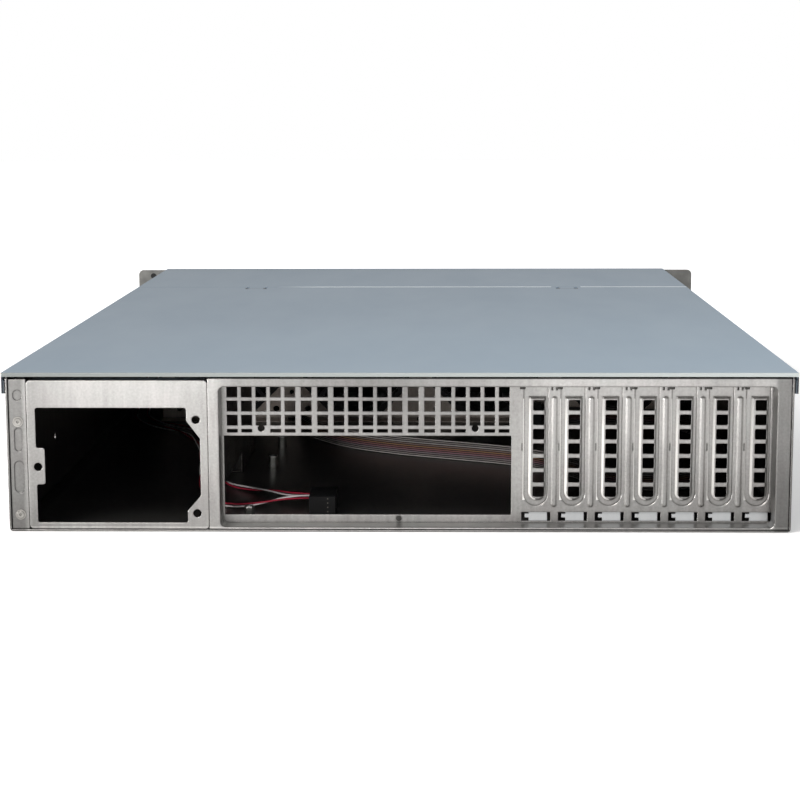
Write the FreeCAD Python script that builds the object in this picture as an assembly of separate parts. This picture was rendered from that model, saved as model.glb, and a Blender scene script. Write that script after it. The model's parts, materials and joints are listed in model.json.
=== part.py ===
import FreeCAD, Part
import math
import os

# ---------------------------------------------------------------------------
# Empty 2U rackmount server case.
# Millimetres. +Z up, the front faces -Y, the rear panel is at +Y.
# The origin is the middle of the footprint, on the surface the case stands on.
# ---------------------------------------------------------------------------

V = FreeCAD.Vector

# Sheet metal and running clearances
tray_sheet = 1.0
bend_radius = 2.0
top_flange_width = 9.0
top_flange_drop = 1.0
panel_sheet = 1.0
lid_sheet = 0.8
seat_gap = 0.3
cut_past = 1.0
same_place = 0.05

# Whole case
case_height = 88.0
case_depth = 650.0
bezel_proud = 3.0
rear_y = (case_depth + bezel_proud) / 2
floor_z = tray_sheet

# Widths along the rear, from the card side to the power supply side
frame_side_gap = 0.5
frame_side_width = 7.4
slot_end_margin = 7.88
slot_count = 7
slot_pitch = 20.32
slot_io_gap = 13.45
io_width = 158.75
io_end_gap = 1.1
column_width = 5.9
plate_gap = 0.3
psu_width = 98.8
post_face_width = 9.4
slots_span = slot_end_margin + (slot_count - 1) * slot_pitch + slot_io_gap
recess_width = slots_span + io_width + io_end_gap
frame_width = frame_side_width + recess_width + column_width
post_span = plate_gap + post_face_width + frame_side_gap
inner_half = (frame_side_gap + frame_width + plate_gap + psu_width + post_span) / 2
body_width = 2 * (inner_half + tray_sheet)

# Rack ears reach from the body to the rack's posts
ear_shoulder = 18.45
ear_edge = 8.75
rack_hole_span = body_width + 2 * ear_shoulder
ear_span = rack_hole_span + 2 * ear_edge

# Side rail holes in the tray walls
rail_hole_radius = 2.1
rail_hole_pitch_y = 400.0
rail_hole_pitch_z = 26.0
rail_hole_height = 44.0

# Lid and fixed front top
front_top_depth = 168.0
lid_joint_gap = 0.4
lid_lip_drop = 2.2
hem_height = 11.4
hem_gap = 0.2
hem_inner_short = 3.6
lid_width = body_width + 2 * (seat_gap + hem_gap + 2 * lid_sheet)
top_side_flange = 12.0
fold_radius = 1.2
ledge_reach = 16.0
ledge_side_gap = 0.3
hook_offset = 121.5
hook_width = 12.4
hook_relief = 2.0
hook_relief_length = 11.0
hook_drop = 5.0
hook_slot_gap = 0.4

# Rear panel: outer frame with a deep recess for board connectors and cards
frame_left = frame_side_gap - inner_half
frame_right = frame_left + frame_width
frame_bottom = 1.6
frame_top_gap = 3.3
frame_top = case_height - frame_top_gap
frame_top_bar = 4.5
recess_left = frame_left + frame_side_width
recess_right = recess_left + recess_width
recess_bottom = 2.2
recess_top = frame_top - frame_top_bar
recess_corner = 4.0
recess_depth = 14.0
recess_edge_fillet = 0.8
frame_top_flange = 4.0

# Vent grille above the board connectors
grille_hole = 5.9
grille_end_gap = 2.9
grille_first_x = recess_right - grille_end_gap
grille_pitch = 8.0
grille_wide_pitch = 9.0
grille_groups = (5, 1, 1, 5, 1, 1, 5)
grille_row_count = 3
grille_row_pitch = 7.9
grille_top_gap = 1.8
grille_slot_gap = 2.0
grille_slot_height = 1.9
grille_round_columns = (2, 16)
grille_round_radius = 1.9
grille_round_drop = 1.5

# Board connector opening
io_left = recess_left + slots_span
io_bottom = 6.55
io_height = 44.45

# Expansion slots, from the one next to the connectors outwards
slot_first_x = io_left - slot_io_gap
slot_width = 13.2
slot_edge_chamfer = 0.5
slot_top_gap = 1.2
slot_top = recess_top - slot_top_gap
slot_bottom = 11.8
slot_rib_offset = slot_pitch / 2
slot_rib_width = 3.4
slot_rib_height = 0.9
slot_rib_slope = 1.0
slot_rib_top_gap = 7.0
slot_rib_bottom = 11.0
slot_notch_width = 1.1
slot_notch_drop = 2.4
slot_notch_pitch = 2.6
tongue_hole_bottom = 3.2
tongue_hole_height = 5.0
tongue_hole_width = 16.0
tongue_hole_shift = -0.3
slit_offset = 7.5
slit_width = 0.6
slit_height = 4.2
slit_z = 44.8

# Slot covers
cover_side_gap = 0.96
cover_width = slot_pitch - 2 * cover_side_gap
cover_sheet = 0.8
cover_bottom = 2.6
cover_tongue_width = 10.2
cover_tongue_shift = -1.5
cover_barb_width = 2.2
cover_barb_bottom = 4.9
cover_barb_height = 2.2
cover_shoulder = 9.2
cover_shoulder_rise = 1.6
cover_tab_length = 11.4
cover_hole = 5.9
cover_hole_width = 6.4
cover_hole_corner = 0.7
cover_hole_count = 7
cover_hole_top_gap = 9.1
cover_hole_last_top = 22.7
cover_play = (-1.6, -0.8, -0.7, -1.0, -0.7, -0.5, -1.4)
plateau_side_gap = 1.8
plateau_share = 0.5
plateau_width = slot_width - 2 * plateau_side_gap
plateau_height = 1.5
plateau_slope = 1.3
plateau_foot_gap = 2.8
plateau_top_gap = 7.2
plateau_bottom = slot_bottom + plateau_foot_gap
cover_screw_depth = 6.0
cover_screw_notch = 2.2
cover_screw_offset = 7.6

# Power supply opening: its left and right edges are measured from the plate's own edges
psu_left = frame_right + plate_gap
psu_right = psu_left + psu_width
psu_bottom = 1.5
psu_top_gap = 4.3
psu_top = case_height - psu_top_gap
psu_set_back = 0.3
psu_corner = 2.0
psu_flange = 11.0
psu_hole_radius = 2.3
psu_right_hole_inset = 5.4
psu_right_hole_z = 35.9
psu_left_hole_inset = 6.4
psu_upper_hole_drop = 21.6
psu_lower_hole_z = 10.1
psu_cut_fillet = 1.3
psu_cut_top_drop = 15.0
psu_cut_bottom = 4.8
psu_cut_left = 11.6
psu_cut_left_belly = 4.2
psu_cut_right = 4.5
psu_cut_right_step = 9.2
psu_step_low = 26.2
psu_step_high = 46.4
psu_belly_low = 20.0
psu_belly_high = 51.6
psu_belly_start = 11.5
psu_belly_end_drop = 7.2

# Rear corner post beside the power supply
post_inner = psu_right + plate_gap
post_leg = 40.0
post_sheet = 1.0
post_set_back = 0.6
post_bottom = 1.3
post_top_gap = 3.7
post_top = case_height - post_top_gap
post_centre = post_inner + post_face_width / 2
post_pads = ((51.0, 4.4, 13.0), (30.3, 5.6, 17.8))
post_top_pad_drop = 8.7
post_top_pad_width = 4.8
post_top_pad_height = 6.0
pad_depth = 0.5
post_rivet_z = (60.9, 9.2)

# Fan wall and fans: the fans are as large as the height allows
fan_wall_depth = 370.0
wall_card_side_gap = 14.55
wall_psu_side_gap = 30.95
wall_end_margin = 8.0
fan_count = 4
fan_height_margin = 8.0
fan_size = case_height - fan_height_margin
wall_left = wall_card_side_gap - inner_half
wall_right = inner_half - wall_psu_side_gap
fan_pitch = (wall_right - wall_left - 2 * wall_end_margin - fan_size) / (fan_count - 1)
fan_thickness = 25.4
fan_floor_gap = 3.8
fan_centre_z = floor_z + fan_floor_gap + fan_size / 2
fan_wall_thickness = 2.0
fan_bore_radius = fan_size / 2 - fan_wall_thickness
fan_hole_inset = 4.25
fan_hole_radius = 2.15
fan_corner_radius = 4.0
fan_hub_radius = 17.0
fan_base_thickness = 3.0
fan_rotor_end_gap = 0.6
fan_rotor_front_gap = 2.0
fan_strut_width = 3.0
fan_strut_count = 4
fan_strut_turn = 45.0
fan_blade_count = 7
fan_blade_sheet = 1.6
fan_tip_gap = 0.9
fan_blade_angle = 32.0
fan_blade_sag = 0.125
fan_shaft_radius = 1.5
fan_running_fit = 0.05
fan_opening_edge = 1.0
fan_opening_chamfer = 20.0
wall_foot = 14.0
wall_top_gap = 2.8
wall_top = case_height - wall_top_gap
wall_top_flange = 10.0
web_hole_radius = 1.6
web_low_hole_z = 21.3
web_high_hole_drop = 22.0
ribbon_pass_side_gap = 1.2
ribbon_pass_top_gap = 2.0

# Board standoffs, on the common board hole pattern
board_hole_inset = 13.5
board_far_column = 281.94
standoff_first_depth = 26.7
board_middle_row = 154.94
board_far_row = 227.33
standoff_first_x = recess_right - board_hole_inset
standoff_height = 7.8
standoff_top = floor_z + standoff_height
standoff_across_flats = 5.0
hexagon_sides = 6
standoff_thread_radius = 1.25
standoff_thread_depth = 6.0

# Drive bays: columns and rows of sliding carriers behind the front
bay_columns = 4
bay_rows = 2
bay_side_margin = 1.1
bay_pitch_x = 2 * (inner_half - bay_side_margin) / bay_columns
bay_pitch_z = 28.2
divider_sheet = 1.0
cage_depth = 156.0
cage_front_gap = 1.0
carrier_side_gap = 0.75
carrier_width = bay_pitch_x - 2 * carrier_side_gap
carrier_row_gap = 1.6
carrier_height = bay_pitch_z - carrier_row_gap
carrier_first_z = floor_z + divider_sheet + seat_gap
carrier_rear_gap = 2.3
carrier_wall = 1.2
carrier_floor = 0.8
carrier_side_height = 20.0
carrier_window_x = 62.0
carrier_window_y = 46.0
carrier_window_pitch = 64.0
bezel_thickness = 9.0
rail_ledge_width = 1.5
rail_ledge_thickness = 0.8
divider_foot = 8.0
cage_plate_gap = 0.8
cage_side_gap = 0.1
cage_plate = 1.0

# Carrier lever
lever_recess_margin = 12.5
lever_recess_length = carrier_width - lever_recess_margin
lever_recess_height = 10.0
lever_recess_depth = 4.2
lever_thickness = 3.4
lever_side_gap = 0.3
lever_end_gap = 2.4
lever_free_end_gap = 3.6
lever_length = lever_recess_length - lever_end_gap - lever_free_end_gap
lever_pin_radius = 1.4
lever_pin_fit = 0.05
lever_pin_bite = 2.6
lever_pin_end_gap = 0.4
lever_grip_inset = 3.0
lever_grip_border = 1.5
lever_grip_length = 13.0
lever_grip_depth = 1.2
bezel_slot_count = 6
bezel_slot_length = 10.0
bezel_slot_height = 3.2
bezel_slot_pitch = 14.0
bezel_slot_offset = 9.3

# Backplane behind the carriers
backplane_thickness = 1.6
backplane_bottom_gap = 1.4
backplane_top_gap = 1.3
backplane_side_gap = 4.0
backplane_window_side = 22.0
backplane_window_z = 9.0
backplane_window_rise = 18.3
connector_width = 34.0
connector_height = 7.0
connector_length = 4.6
connector_offset_z = 6.0

# Front panel above the bays
panel_bottom_gap = 0.4
panel_side_gap = 0.6
panel_top_gap = 1.2
panel_vent_count = 34
panel_vent_pitch = 7.0
panel_vent_width = 3.4
panel_vent_margin = 6.35
panel_vent_first_x = -128.0
panel_fold = 9.0
button_side = 43.1
button_x = inner_half - button_side
button_pitch = 18.0
reset_x = button_x + button_pitch
power_button_radius = 5.0
reset_button_radius = 2.4
button_side_gap = 0.3
button_flange = 1.2
button_flange_thickness = 1.2
button_proud = 1.6
button_stem = 4.0
button_travel = 1.2
button_stop_gap = 0.3
board_thickness = 1.6
board_edge_gap = 4.3
board_margin = 14.0
board_post_inset = 4.0
board_post_radius = 2.0
switch_size = 6.0

# Rack ears
ear_sheet = 1.5
ear_bottom = 0.6
ear_top_gap = 1.0
ear_leg_depth = 42.0
ear_leg_top_gap = 15.0
ear_leg_bottom = 3.0
ear_wall_gap = 0.1
ear_corner = 4.0
rack_hole_pitch = 44.45
ear_plug_inset = 12.8
ear_plug_drop = 5.2
ear_plug_radius = 2.4
ear_plug_height = 0.5
rack_slot_length = 10.5
rack_slot_half_height = 3.4
ear_rivet_z = (14.0, 38.0, 62.0)
ear_rivet_inset = 12.0

# Small fasteners
rivet_head_radius = 1.9
rivet_head_height = 0.6
rivet_flange_radius = 2.9
rivet_flange_height = 0.25
rivet_hollow_radius = 0.75
rivet_hollow_depth = 0.4
screw_head_radius = 2.6
screw_head_height = 1.8
screw_shank_radius = 1.5
screw_length = 4.0
screw_hole_clearance = 0.15
stud_head_radius = 1.5
stud_head_height = 0.8
stud_offset = 62.15
stud_z = 4.6

# Divider between the power supply bay and the board
psu_divider_gap = 0.6
psu_divider_rear = 22.0
psu_divider_front = 246.0
psu_divider_top_gap = 8.0
psu_divider_foot = 11.0
psu_divider_fold = 9.0
psu_divider_stop = 12.0
lead_pass_rear = 45.0
lead_pass_front = 165.0
lead_pass_height = 13.0

# Flat ribbon lead: from the drive backplane through the fan wall, then in one loop on edge on the floor
ribbon_width = 12.7
ribbon_thickness = 1.3
ribbon_wall_x = 81.8
ribbon_route = (
    (84.6, 476.8), (82.6, 446.0), (81.8, 408.0), (81.8, 364.0), (79.0, 326.0), (65.0, 286.0), (41.0, 250.0),
    (5.0, 224.0), (-38.0, 204.0), (-74.0, 186.0), (-100.0, 158.0), (-117.0, 126.0), (-140.0, 106.0),
    (-168.0, 108.0), (-190.0, 130.0), (-203.0, 162.0), (-206.5, 206.0), (-206.5, 252.0), (-203.0, 296.0),
    (-188.0, 328.0), (-158.0, 345.0), (-124.0, 347.0), (-96.0, 347.0),
)
ribbon_plug_length = 15.0
ribbon_plug_width = 7.0
ribbon_plug_height = 16.0

# Two thin leads from the control board: over the drive bays, down behind them and along the floor
lead_diameter = 3.0
control_lead_drop = 4.0
power_lead_route = (
    (178.0, 602.0, 65.5), (186.0, 572.0, 63.6), (191.0, 542.0, 63.2), (195.0, 512.0, 63.2),
    (198.0, 482.0, 61.4), (199.0, 471.0, 36.0), (199.0, 461.0, 14.0), (199.0, 438.0, 3.6),
    (198.0, 402.0, 2.8), (192.0, 364.0, 2.8), (173.0, 337.0, 2.8), (151.0, 317.0, 2.8), (138.0, 289.0, 2.8),
    (130.0, 255.0, 2.8), (124.5, 218.0, 2.8), (120.0, 180.0, 2.8), (115.0, 146.0, 2.8), (106.0, 116.0, 2.8),
    (91.0, 100.0, 3.6), (76.0, 83.0, 6.0),
)
reset_lead_route = (
    (192.0, 602.0, 65.5), (198.0, 572.0, 63.6), (202.0, 542.0, 63.2), (205.0, 512.0, 63.2),
    (206.0, 482.0, 61.4), (207.0, 471.0, 36.0), (207.0, 461.0, 14.0), (207.0, 438.0, 3.6),
    (206.0, 400.0, 2.8), (200.0, 357.0, 2.8), (181.0, 328.0, 2.8), (159.0, 307.0, 2.8), (147.0, 277.0, 2.8),
    (139.0, 244.0, 2.8), (133.5, 206.0, 2.8), (129.0, 168.0, 2.8), (125.0, 130.0, 2.8), (119.0, 94.0, 2.8),
    (110.0, 66.0, 2.8), (97.0, 53.0, 3.0), (82.0, 52.0, 4.6),
)
lead_straight = 12.0
lead_plug_x = 52.0
lead_plug_rear = 40.0
lead_plug_front = 68.0
lead_plug_length = 15.0
lead_plug_height = 10.0
lead_plug_entry = ((63.5, 7.6), (57.5, 7.6))
turn_share = 0.45
smallest_turn_in_diameters = 3.0


# ---------------------------------------------------------------------------
# Helpers
# ---------------------------------------------------------------------------

def inward(depth):
    """Y of a place that lies depth inside the rear face."""
    return rear_y - depth


def block(x0, x1, y0, y1, z0, z1):
    """Box between two corners, whichever is the larger."""
    low = V(min(x0, x1), min(y0, y1), min(z0, z1))
    return Part.makeBox(abs(x1 - x0), abs(y1 - y0), abs(z1 - z0), low)


def rod(radius, length, base, direction):
    return Part.makeCylinder(radius, length, V(*base), V(*direction))


def rounded_plate(x0, x1, y0, y1, z0, z1, radius):
    """Plate in XZ, from y0 to y1, with its four corners rounded."""
    plate = block(x0, x1, y0, y1, z0, z1)
    corners = [e for e in plate.Edges if abs(e.Vertexes[0].Y - e.Vertexes[-1].Y) > abs(y1 - y0) / 2]
    return plate.makeFillet(radius, corners)


def prism_xz(points, y0, y1):
    """Closed outline given as (x, z) pairs, extruded from y0 to y1."""
    loop = [V(x, y0, z) for x, z in points]
    face = Part.Face(Part.makePolygon(loop + [loop[0]]))
    return face.extrude(V(0, y1 - y0, 0))


def join(first, others):
    """One solid from a piece and all that is folded or moulded with it."""
    whole = first.fuse(list(others)) if others else first
    return whole.removeSplitter()


def save(name, shape):
    if not shape.isValid():
        print("not valid:", name)
    shape.exportStep("parts/%s.step" % name)
    print(name, len(shape.Solids), "solids, volume in mm3", round(shape.Volume))


def route_wire(points, diameter):
    """Straight runs joined by arcs, each as large as its two runs allow."""
    corners = [V(*p) for p in points]
    edges = []
    radii = []
    start = corners[0]
    for before, corner, after in zip(corners, corners[1:], corners[2:]):
        back = before - corner
        ahead = after - corner
        turn = math.pi - back.getAngle(ahead)
        reach = turn_share * min(back.Length, ahead.Length)
        radii.append(reach / math.tan(turn / 2))
        enter = corner + V(back).normalize() * reach
        leave = corner + V(ahead).normalize() * reach
        bisector = (V(back).normalize() + V(ahead).normalize()).normalize()
        to_centre = radii[-1] / math.cos(turn / 2)
        middle = corner + bisector * (to_centre - radii[-1])
        edges.append(Part.LineSegment(start, enter).toShape())
        edges.append(Part.Arc(enter, middle, leave).toShape())
        start = leave
    edges.append(Part.LineSegment(start, corners[-1]).toShape())
    print("turn radii", [round(r) for r in radii], "smallest in diameters",
          round(min(radii) / diameter, 1), "wanted", smallest_turn_in_diameters)
    return Part.Wire(edges)


def swept(wire, profile, section):
    """Profile carried along a wire; prints how its volume compares with section times length."""
    solid = wire.makePipeShell([profile], True, False)
    print("sweep volume ratio", round(solid.Volume / (section * wire.Length), 3))
    return solid


# ---------------------------------------------------------------------------
# Chassis tray, lid and fixed top
# ---------------------------------------------------------------------------

def tray_wall_top():
    return case_height - lid_sheet - seat_gap


def chassis_tray():
    """One folded sheet: floor, two side walls and an inward flange along each wall's top."""
    outer = body_width / 2
    wall_top = tray_wall_top()
    front = inward(case_depth - ear_sheet)
    rear = inward(0)
    shell = block(-outer, outer, front, rear, 0, wall_top)
    long_edges = [e for e in shell.Edges
                  if abs(e.Vertexes[0].Y - e.Vertexes[-1].Y) > case_depth / 2 and e.Vertexes[0].Z < floor_z]
    shell = shell.makeFillet(bend_radius, long_edges)
    hollow = block(-inner_half, inner_half, front, rear, floor_z, wall_top - top_flange_drop)
    mouth_half = inner_half - top_flange_width
    mouth = block(-mouth_half, mouth_half, front, rear, floor_z, wall_top)
    shell = shell.cut(hollow.fuse(mouth))
    clear_rear = block(-inner_half, inner_half, inward(psu_flange + seat_gap), rear, floor_z, wall_top)
    under_lip = block(-outer, outer, inward(lid_sheet + seat_gap), rear, wall_top - lid_lip_drop, wall_top)
    shell = shell.cut(clear_rear.fuse(under_lip))
    for y in (-rail_hole_pitch_y / 2, rail_hole_pitch_y / 2):
        for z in (rail_hole_height - rail_hole_pitch_z / 2, rail_hole_height + rail_hole_pitch_z / 2):
            shell = shell.cut(rod(rail_hole_radius, body_width, (-outer, y, z), (1, 0, 0)))
    return shell


def hook_places():
    return (-hook_offset, hook_offset)


def lid():
    """Removable cover: flat top, lip over the rear panel, hemmed side flanges, two locating hooks."""
    half = lid_width / 2
    rear = inward(0)
    front = inward(case_depth - front_top_depth - lid_joint_gap)
    top = case_height
    under = top - lid_sheet
    hem_bottom = top - hem_height
    plate = block(-half, half, front, rear, under, top)
    lip = block(-half, half, rear - lid_sheet, rear, top - lid_lip_drop, top)
    pieces = [lip]
    for side in (-1, 1):
        outer_leg = block(side * (half - lid_sheet), side * half, front, rear, hem_bottom, top)
        inner_edge = half - 2 * lid_sheet - hem_gap
        inner_leg = block(side * inner_edge, side * (half - lid_sheet - hem_gap), front, rear,
                          hem_bottom, under - hem_inner_short)
        fold = block(side * inner_edge, side * half, front, rear, hem_bottom, hem_bottom + lid_sheet)
        pieces += [outer_leg, inner_leg, fold]
    for x in hook_places():
        pieces.append(block(x - hook_width / 2, x + hook_width / 2, front, front + lid_sheet,
                            top - hook_drop, top))
    cover = join(plate, pieces)
    for x in hook_places():
        for side in (-1, 1):
            notch_x = x + side * (hook_width + hook_relief) / 2
            cover = cover.cut(block(notch_x - hook_relief / 2, notch_x + hook_relief / 2,
                                    front, front + hook_relief_length, under, top))
    return cover


def front_top():
    """Fixed cover over the drive bays, joggled down at its rear edge to carry the lid."""
    half = lid_width / 2
    rear = inward(case_depth - front_top_depth)
    front = inward(case_depth)
    top = case_height
    under = top - lid_sheet
    plate = block(-half, half, front, rear, under, top)
    pieces = []
    for side in (-1, 1):
        pieces.append(block(side * (half - lid_sheet), side * half, front + ear_sheet + seat_gap, rear,
                            top - top_side_flange, top))
    ledge_top = under - seat_gap
    ledge_half = inner_half - top_flange_width - ledge_side_gap
    ledge = block(-ledge_half, ledge_half, rear, rear + ledge_reach, ledge_top - lid_sheet, ledge_top)
    riser = block(-ledge_half, ledge_half, rear - lid_sheet, rear, ledge_top - lid_sheet, top)
    pieces += [ledge, riser]
    corner = block(-half, half, rear - fold_radius, rear, top - fold_radius, top)
    bend = rod(fold_radius, 2 * half, (-half, rear - fold_radius, top - fold_radius), (1, 0, 0))
    cover = join(plate, pieces).cut(corner.cut(bend))
    clear = hook_slot_gap
    lid_front = rear + lid_joint_gap
    for x in hook_places():
        cover = cover.cut(block(x - hook_width / 2 - clear, x + hook_width / 2 + clear,
                                rear, lid_front + lid_sheet + clear, top - hook_drop - clear, ledge_top))
    return cover


# ---------------------------------------------------------------------------
# Rear panel, slot covers, power supply plate, corner post
# ---------------------------------------------------------------------------

def slot_centre(index):
    return slot_first_x - index * slot_pitch


def grille_columns():
    """Left edge, seen from behind, of each column of vent holes."""
    edges = []
    x = grille_first_x
    for count in grille_groups:
        for position in range(count):
            edges.append(x)
            last_in_group = position == count - 1
            x -= grille_wide_pitch if last_in_group else grille_pitch
    return edges


def grille_cutters(y0, y1):
    first_top = recess_top - grille_top_gap
    last_top = first_top - (grille_row_count - 1) * grille_row_pitch
    slit_top = last_top - grille_hole - grille_slot_gap
    holes = []
    for column, x in enumerate(grille_columns()):
        for row in range(grille_row_count):
            z = first_top - row * grille_row_pitch
            holes.append(block(x - grille_hole, x, y0, y1, z - grille_hole, z))
        if column in grille_round_columns:
            centre = (x - grille_hole / 2, y0, last_top - grille_hole - grille_round_drop)
            holes.append(rod(grille_round_radius, y1 - y0, centre, (0, 1, 0)))
        else:
            holes.append(block(x - grille_hole, x, y0, y1, slit_top - grille_slot_height, slit_top))
    return holes


def u_outline(x, y, radius, foot_z, top):
    """Upright outline with a square top and a half-round foot centred at foot_z."""
    left = V(x - radius, y, foot_z)
    right = V(x + radius, y, foot_z)
    edges = [Part.LineSegment(right, V(x + radius, y, top)).toShape(),
             Part.LineSegment(V(x + radius, y, top), V(x - radius, y, top)).toShape(),
             Part.LineSegment(V(x - radius, y, top), left).toShape(),
             Part.Arc(left, V(x, y, foot_z - radius), right).toShape()]
    return Part.Wire(edges)


def slot_window(centre, y0, face_y):
    """Opening with a square top, a half-round foot and a chamfer along its outer edge."""
    radius = slot_width / 2
    foot_z = slot_bottom + radius
    rise = slot_edge_chamfer
    through = Part.Face(u_outline(centre, y0, radius, foot_z, slot_top)).extrude(V(0, face_y - y0, 0))
    narrow = u_outline(centre, face_y - rise, radius, foot_z, slot_top)
    wide = u_outline(centre, face_y + rise, radius + 2 * rise, foot_z, slot_top + 2 * rise)
    return through.fuse(Part.makeLoft([narrow, wide], True, True))


def stadium_outline(x, y, radius, low, high):
    """Upright outline with round ends centred at low and high."""
    edges = [Part.LineSegment(V(x + radius, y, low), V(x + radius, y, high)).toShape(),
             Part.Arc(V(x + radius, y, high), V(x, y, high + radius), V(x - radius, y, high)).toShape(),
             Part.LineSegment(V(x - radius, y, high), V(x - radius, y, low)).toShape(),
             Part.Arc(V(x - radius, y, low), V(x, y, low - radius), V(x + radius, y, low)).toShape()]
    return Part.Wire(edges)


def slot_rib(centre, face_y):
    """Bead with round ends and sloping sides, rooted in the sheet."""
    radius = slot_rib_width / 2
    low = slot_rib_bottom + radius
    high = recess_top - slot_rib_top_gap - radius
    slope = slot_rib_slope / slot_rib_height
    root = panel_sheet / 2
    foot = stadium_outline(centre, face_y - root, radius + root * slope, low, high)
    crown = stadium_outline(centre, face_y + slot_rib_height, radius - slot_rib_slope, low, high)
    return Part.makeLoft([foot, crown], True, True)


def rear_panel():
    """One drawn sheet: outer frame, recess walls and the recessed plate with all its openings."""
    face_y = inward(0)
    plate_y = inward(recess_depth)
    back_y = plate_y - panel_sheet
    frame = block(frame_left, frame_right, face_y - panel_sheet, face_y, frame_bottom, frame_top)
    pan = rounded_plate(recess_left - panel_sheet, recess_right + panel_sheet, back_y, face_y,
                        frame_bottom, recess_top + panel_sheet, recess_corner)
    top_fold = block(frame_left, frame_right, face_y - frame_top_flange, face_y,
                     frame_top - panel_sheet, frame_top)
    panel = join(frame, [pan, top_fold])
    hollow = rounded_plate(recess_left, recess_right, plate_y, face_y, recess_bottom, recess_top,
                           recess_corner - panel_sheet)
    panel = panel.cut(hollow)
    rim = [e for e in panel.Edges if on_recess_rim(e, face_y)]
    panel = panel.makeFillet(recess_edge_fillet, rim)
    ribs = [slot_rib(slot_centre(i) - slot_rib_offset, plate_y) for i in range(slot_count - 1)]
    panel = join(panel, ribs)
    cut_from = back_y - cut_past
    cut_to = plate_y + slot_rib_height + cut_past
    cutters = grille_cutters(cut_from, cut_to)
    cutters.append(block(io_left, io_left + io_width, cut_from, cut_to, io_bottom, io_bottom + io_height))
    for i in range(slot_count):
        x = slot_centre(i)
        cutters.append(slot_window(x, cut_from, plate_y))
        slit_x = x + slit_offset
        cutters.append(block(slit_x - slit_width / 2, slit_x + slit_width / 2, cut_from, cut_to,
                             slit_z - slit_height / 2, slit_z + slit_height / 2))
        hole_x = x + tongue_hole_shift
        cutters.append(block(hole_x - tongue_hole_width / 2, hole_x + tongue_hole_width / 2, cut_from, cut_to,
                             tongue_hole_bottom, tongue_hole_bottom + tongue_hole_height))
        cutters.append(cover_screw_hole(i))
    for i in range(slot_count - 1):
        rib_x = slot_centre(i) - slot_rib_offset
        for side in (-1, 1):
            notch_x = rib_x + side * slot_notch_pitch / 2
            cutters.append(block(notch_x - slot_notch_width / 2, notch_x + slot_notch_width / 2,
                                 cut_from, cut_to, slot_top - slot_notch_drop, slot_top))
    return panel.cut(cutters)


def cover_tab_bottom():
    return recess_top + panel_sheet


def cover_screw_place(index):
    """X and Y of the screw that holds a slot cover's tab."""
    return slot_centre(index) + cover_screw_offset, inward(recess_depth - cover_screw_depth)


def cover_screw_hole(index):
    x, y = cover_screw_place(index)
    return rod(screw_shank_radius + screw_hole_clearance, 2 * panel_sheet,
               (x, y, recess_top - panel_sheet / 2), (0, 0, 1))


def on_recess_rim(edge, face_y):
    """True for an edge of the recess mouth in the rear face."""
    if any(abs(v.Y - face_y) > same_place for v in edge.Vertexes):
        return False
    box = edge.BoundBox
    inside_x = box.XMin > recess_left - same_place and box.XMax < recess_right + same_place
    inside_z = box.ZMin > recess_bottom - same_place and box.ZMax < recess_top + same_place
    return inside_x and inside_z


def plateau_section(x, y, inset):
    """Outline with a square top and a half-round foot, inset all round."""
    foot_z = plateau_bottom + plateau_width / 2
    return u_outline(x, y, plateau_width / 2 - inset, foot_z, recess_top - plateau_top_gap - inset)


def plateau(x, base_y, height):
    """Raised field with sloping sides, standing out from base_y."""
    foot = plateau_section(x, base_y, 0)
    crown = plateau_section(x, base_y + height, plateau_slope)
    return Part.makeLoft([foot, crown], True, True)


def slot_cover(index):
    """Blank bracket: long plate with a raised, vented field, a tongue at the foot and a screw tab on top."""
    x = slot_centre(index)
    field_x = x + cover_play[index]
    plateau_x = x + cover_play[index] * plateau_share
    outer_y = inward(recess_depth + panel_sheet)
    inner_y = outer_y - cover_sheet
    half = cover_width / 2
    tongue_x = x + cover_tongue_shift
    tongue_half = cover_tongue_width / 2
    tab_bottom = cover_tab_bottom()
    top = tab_bottom + cover_sheet
    shoulder_top = cover_shoulder + cover_shoulder_rise
    outline = ((x - half, top), (x + half, top), (x + half, shoulder_top),
               (tongue_x + tongue_half, cover_shoulder), (tongue_x + tongue_half, cover_bottom),
               (tongue_x - tongue_half, cover_bottom), (tongue_x - tongue_half, cover_shoulder),
               (x - half, shoulder_top))
    plate = prism_xz(outline, inner_y, outer_y)
    barb = block(tongue_x, tongue_x + tongue_half + cover_barb_width, inner_y, outer_y, cover_barb_bottom,
                 cover_barb_bottom + cover_barb_height)
    plate = join(plate, [barb, plateau(plateau_x, outer_y, plateau_height)])
    plate = plate.cut(plateau(plateau_x, inner_y, plateau_height))
    tab = block(x - half, x + half, inner_y, outer_y + cover_tab_length, tab_bottom, top)
    plate = join(plate, [tab])
    screw_x, screw_y = cover_screw_place(index)
    notch_z = tab_bottom - cover_sheet
    cutters = [rod(cover_screw_notch, 3 * cover_sheet, (screw_x, screw_y, notch_z), (0, 0, 1)),
               block(screw_x, x + half, screw_y - cover_screw_notch, screw_y + cover_screw_notch, notch_z,
                     notch_z + 3 * cover_sheet)]
    first_top = recess_top - cover_hole_top_gap
    hole_pitch = (first_top - cover_hole_last_top) / (cover_hole_count - 1)
    for row in range(cover_hole_count):
        hole_top = first_top - row * hole_pitch
        cutters.append(rounded_plate(field_x - cover_hole_width / 2, field_x + cover_hole_width / 2,
                                     inner_y - cut_past, outer_y + plateau_height + cut_past,
                                     hole_top - cover_hole, hole_top, cover_hole_corner))
    return plate.cut(cutters)


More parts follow.
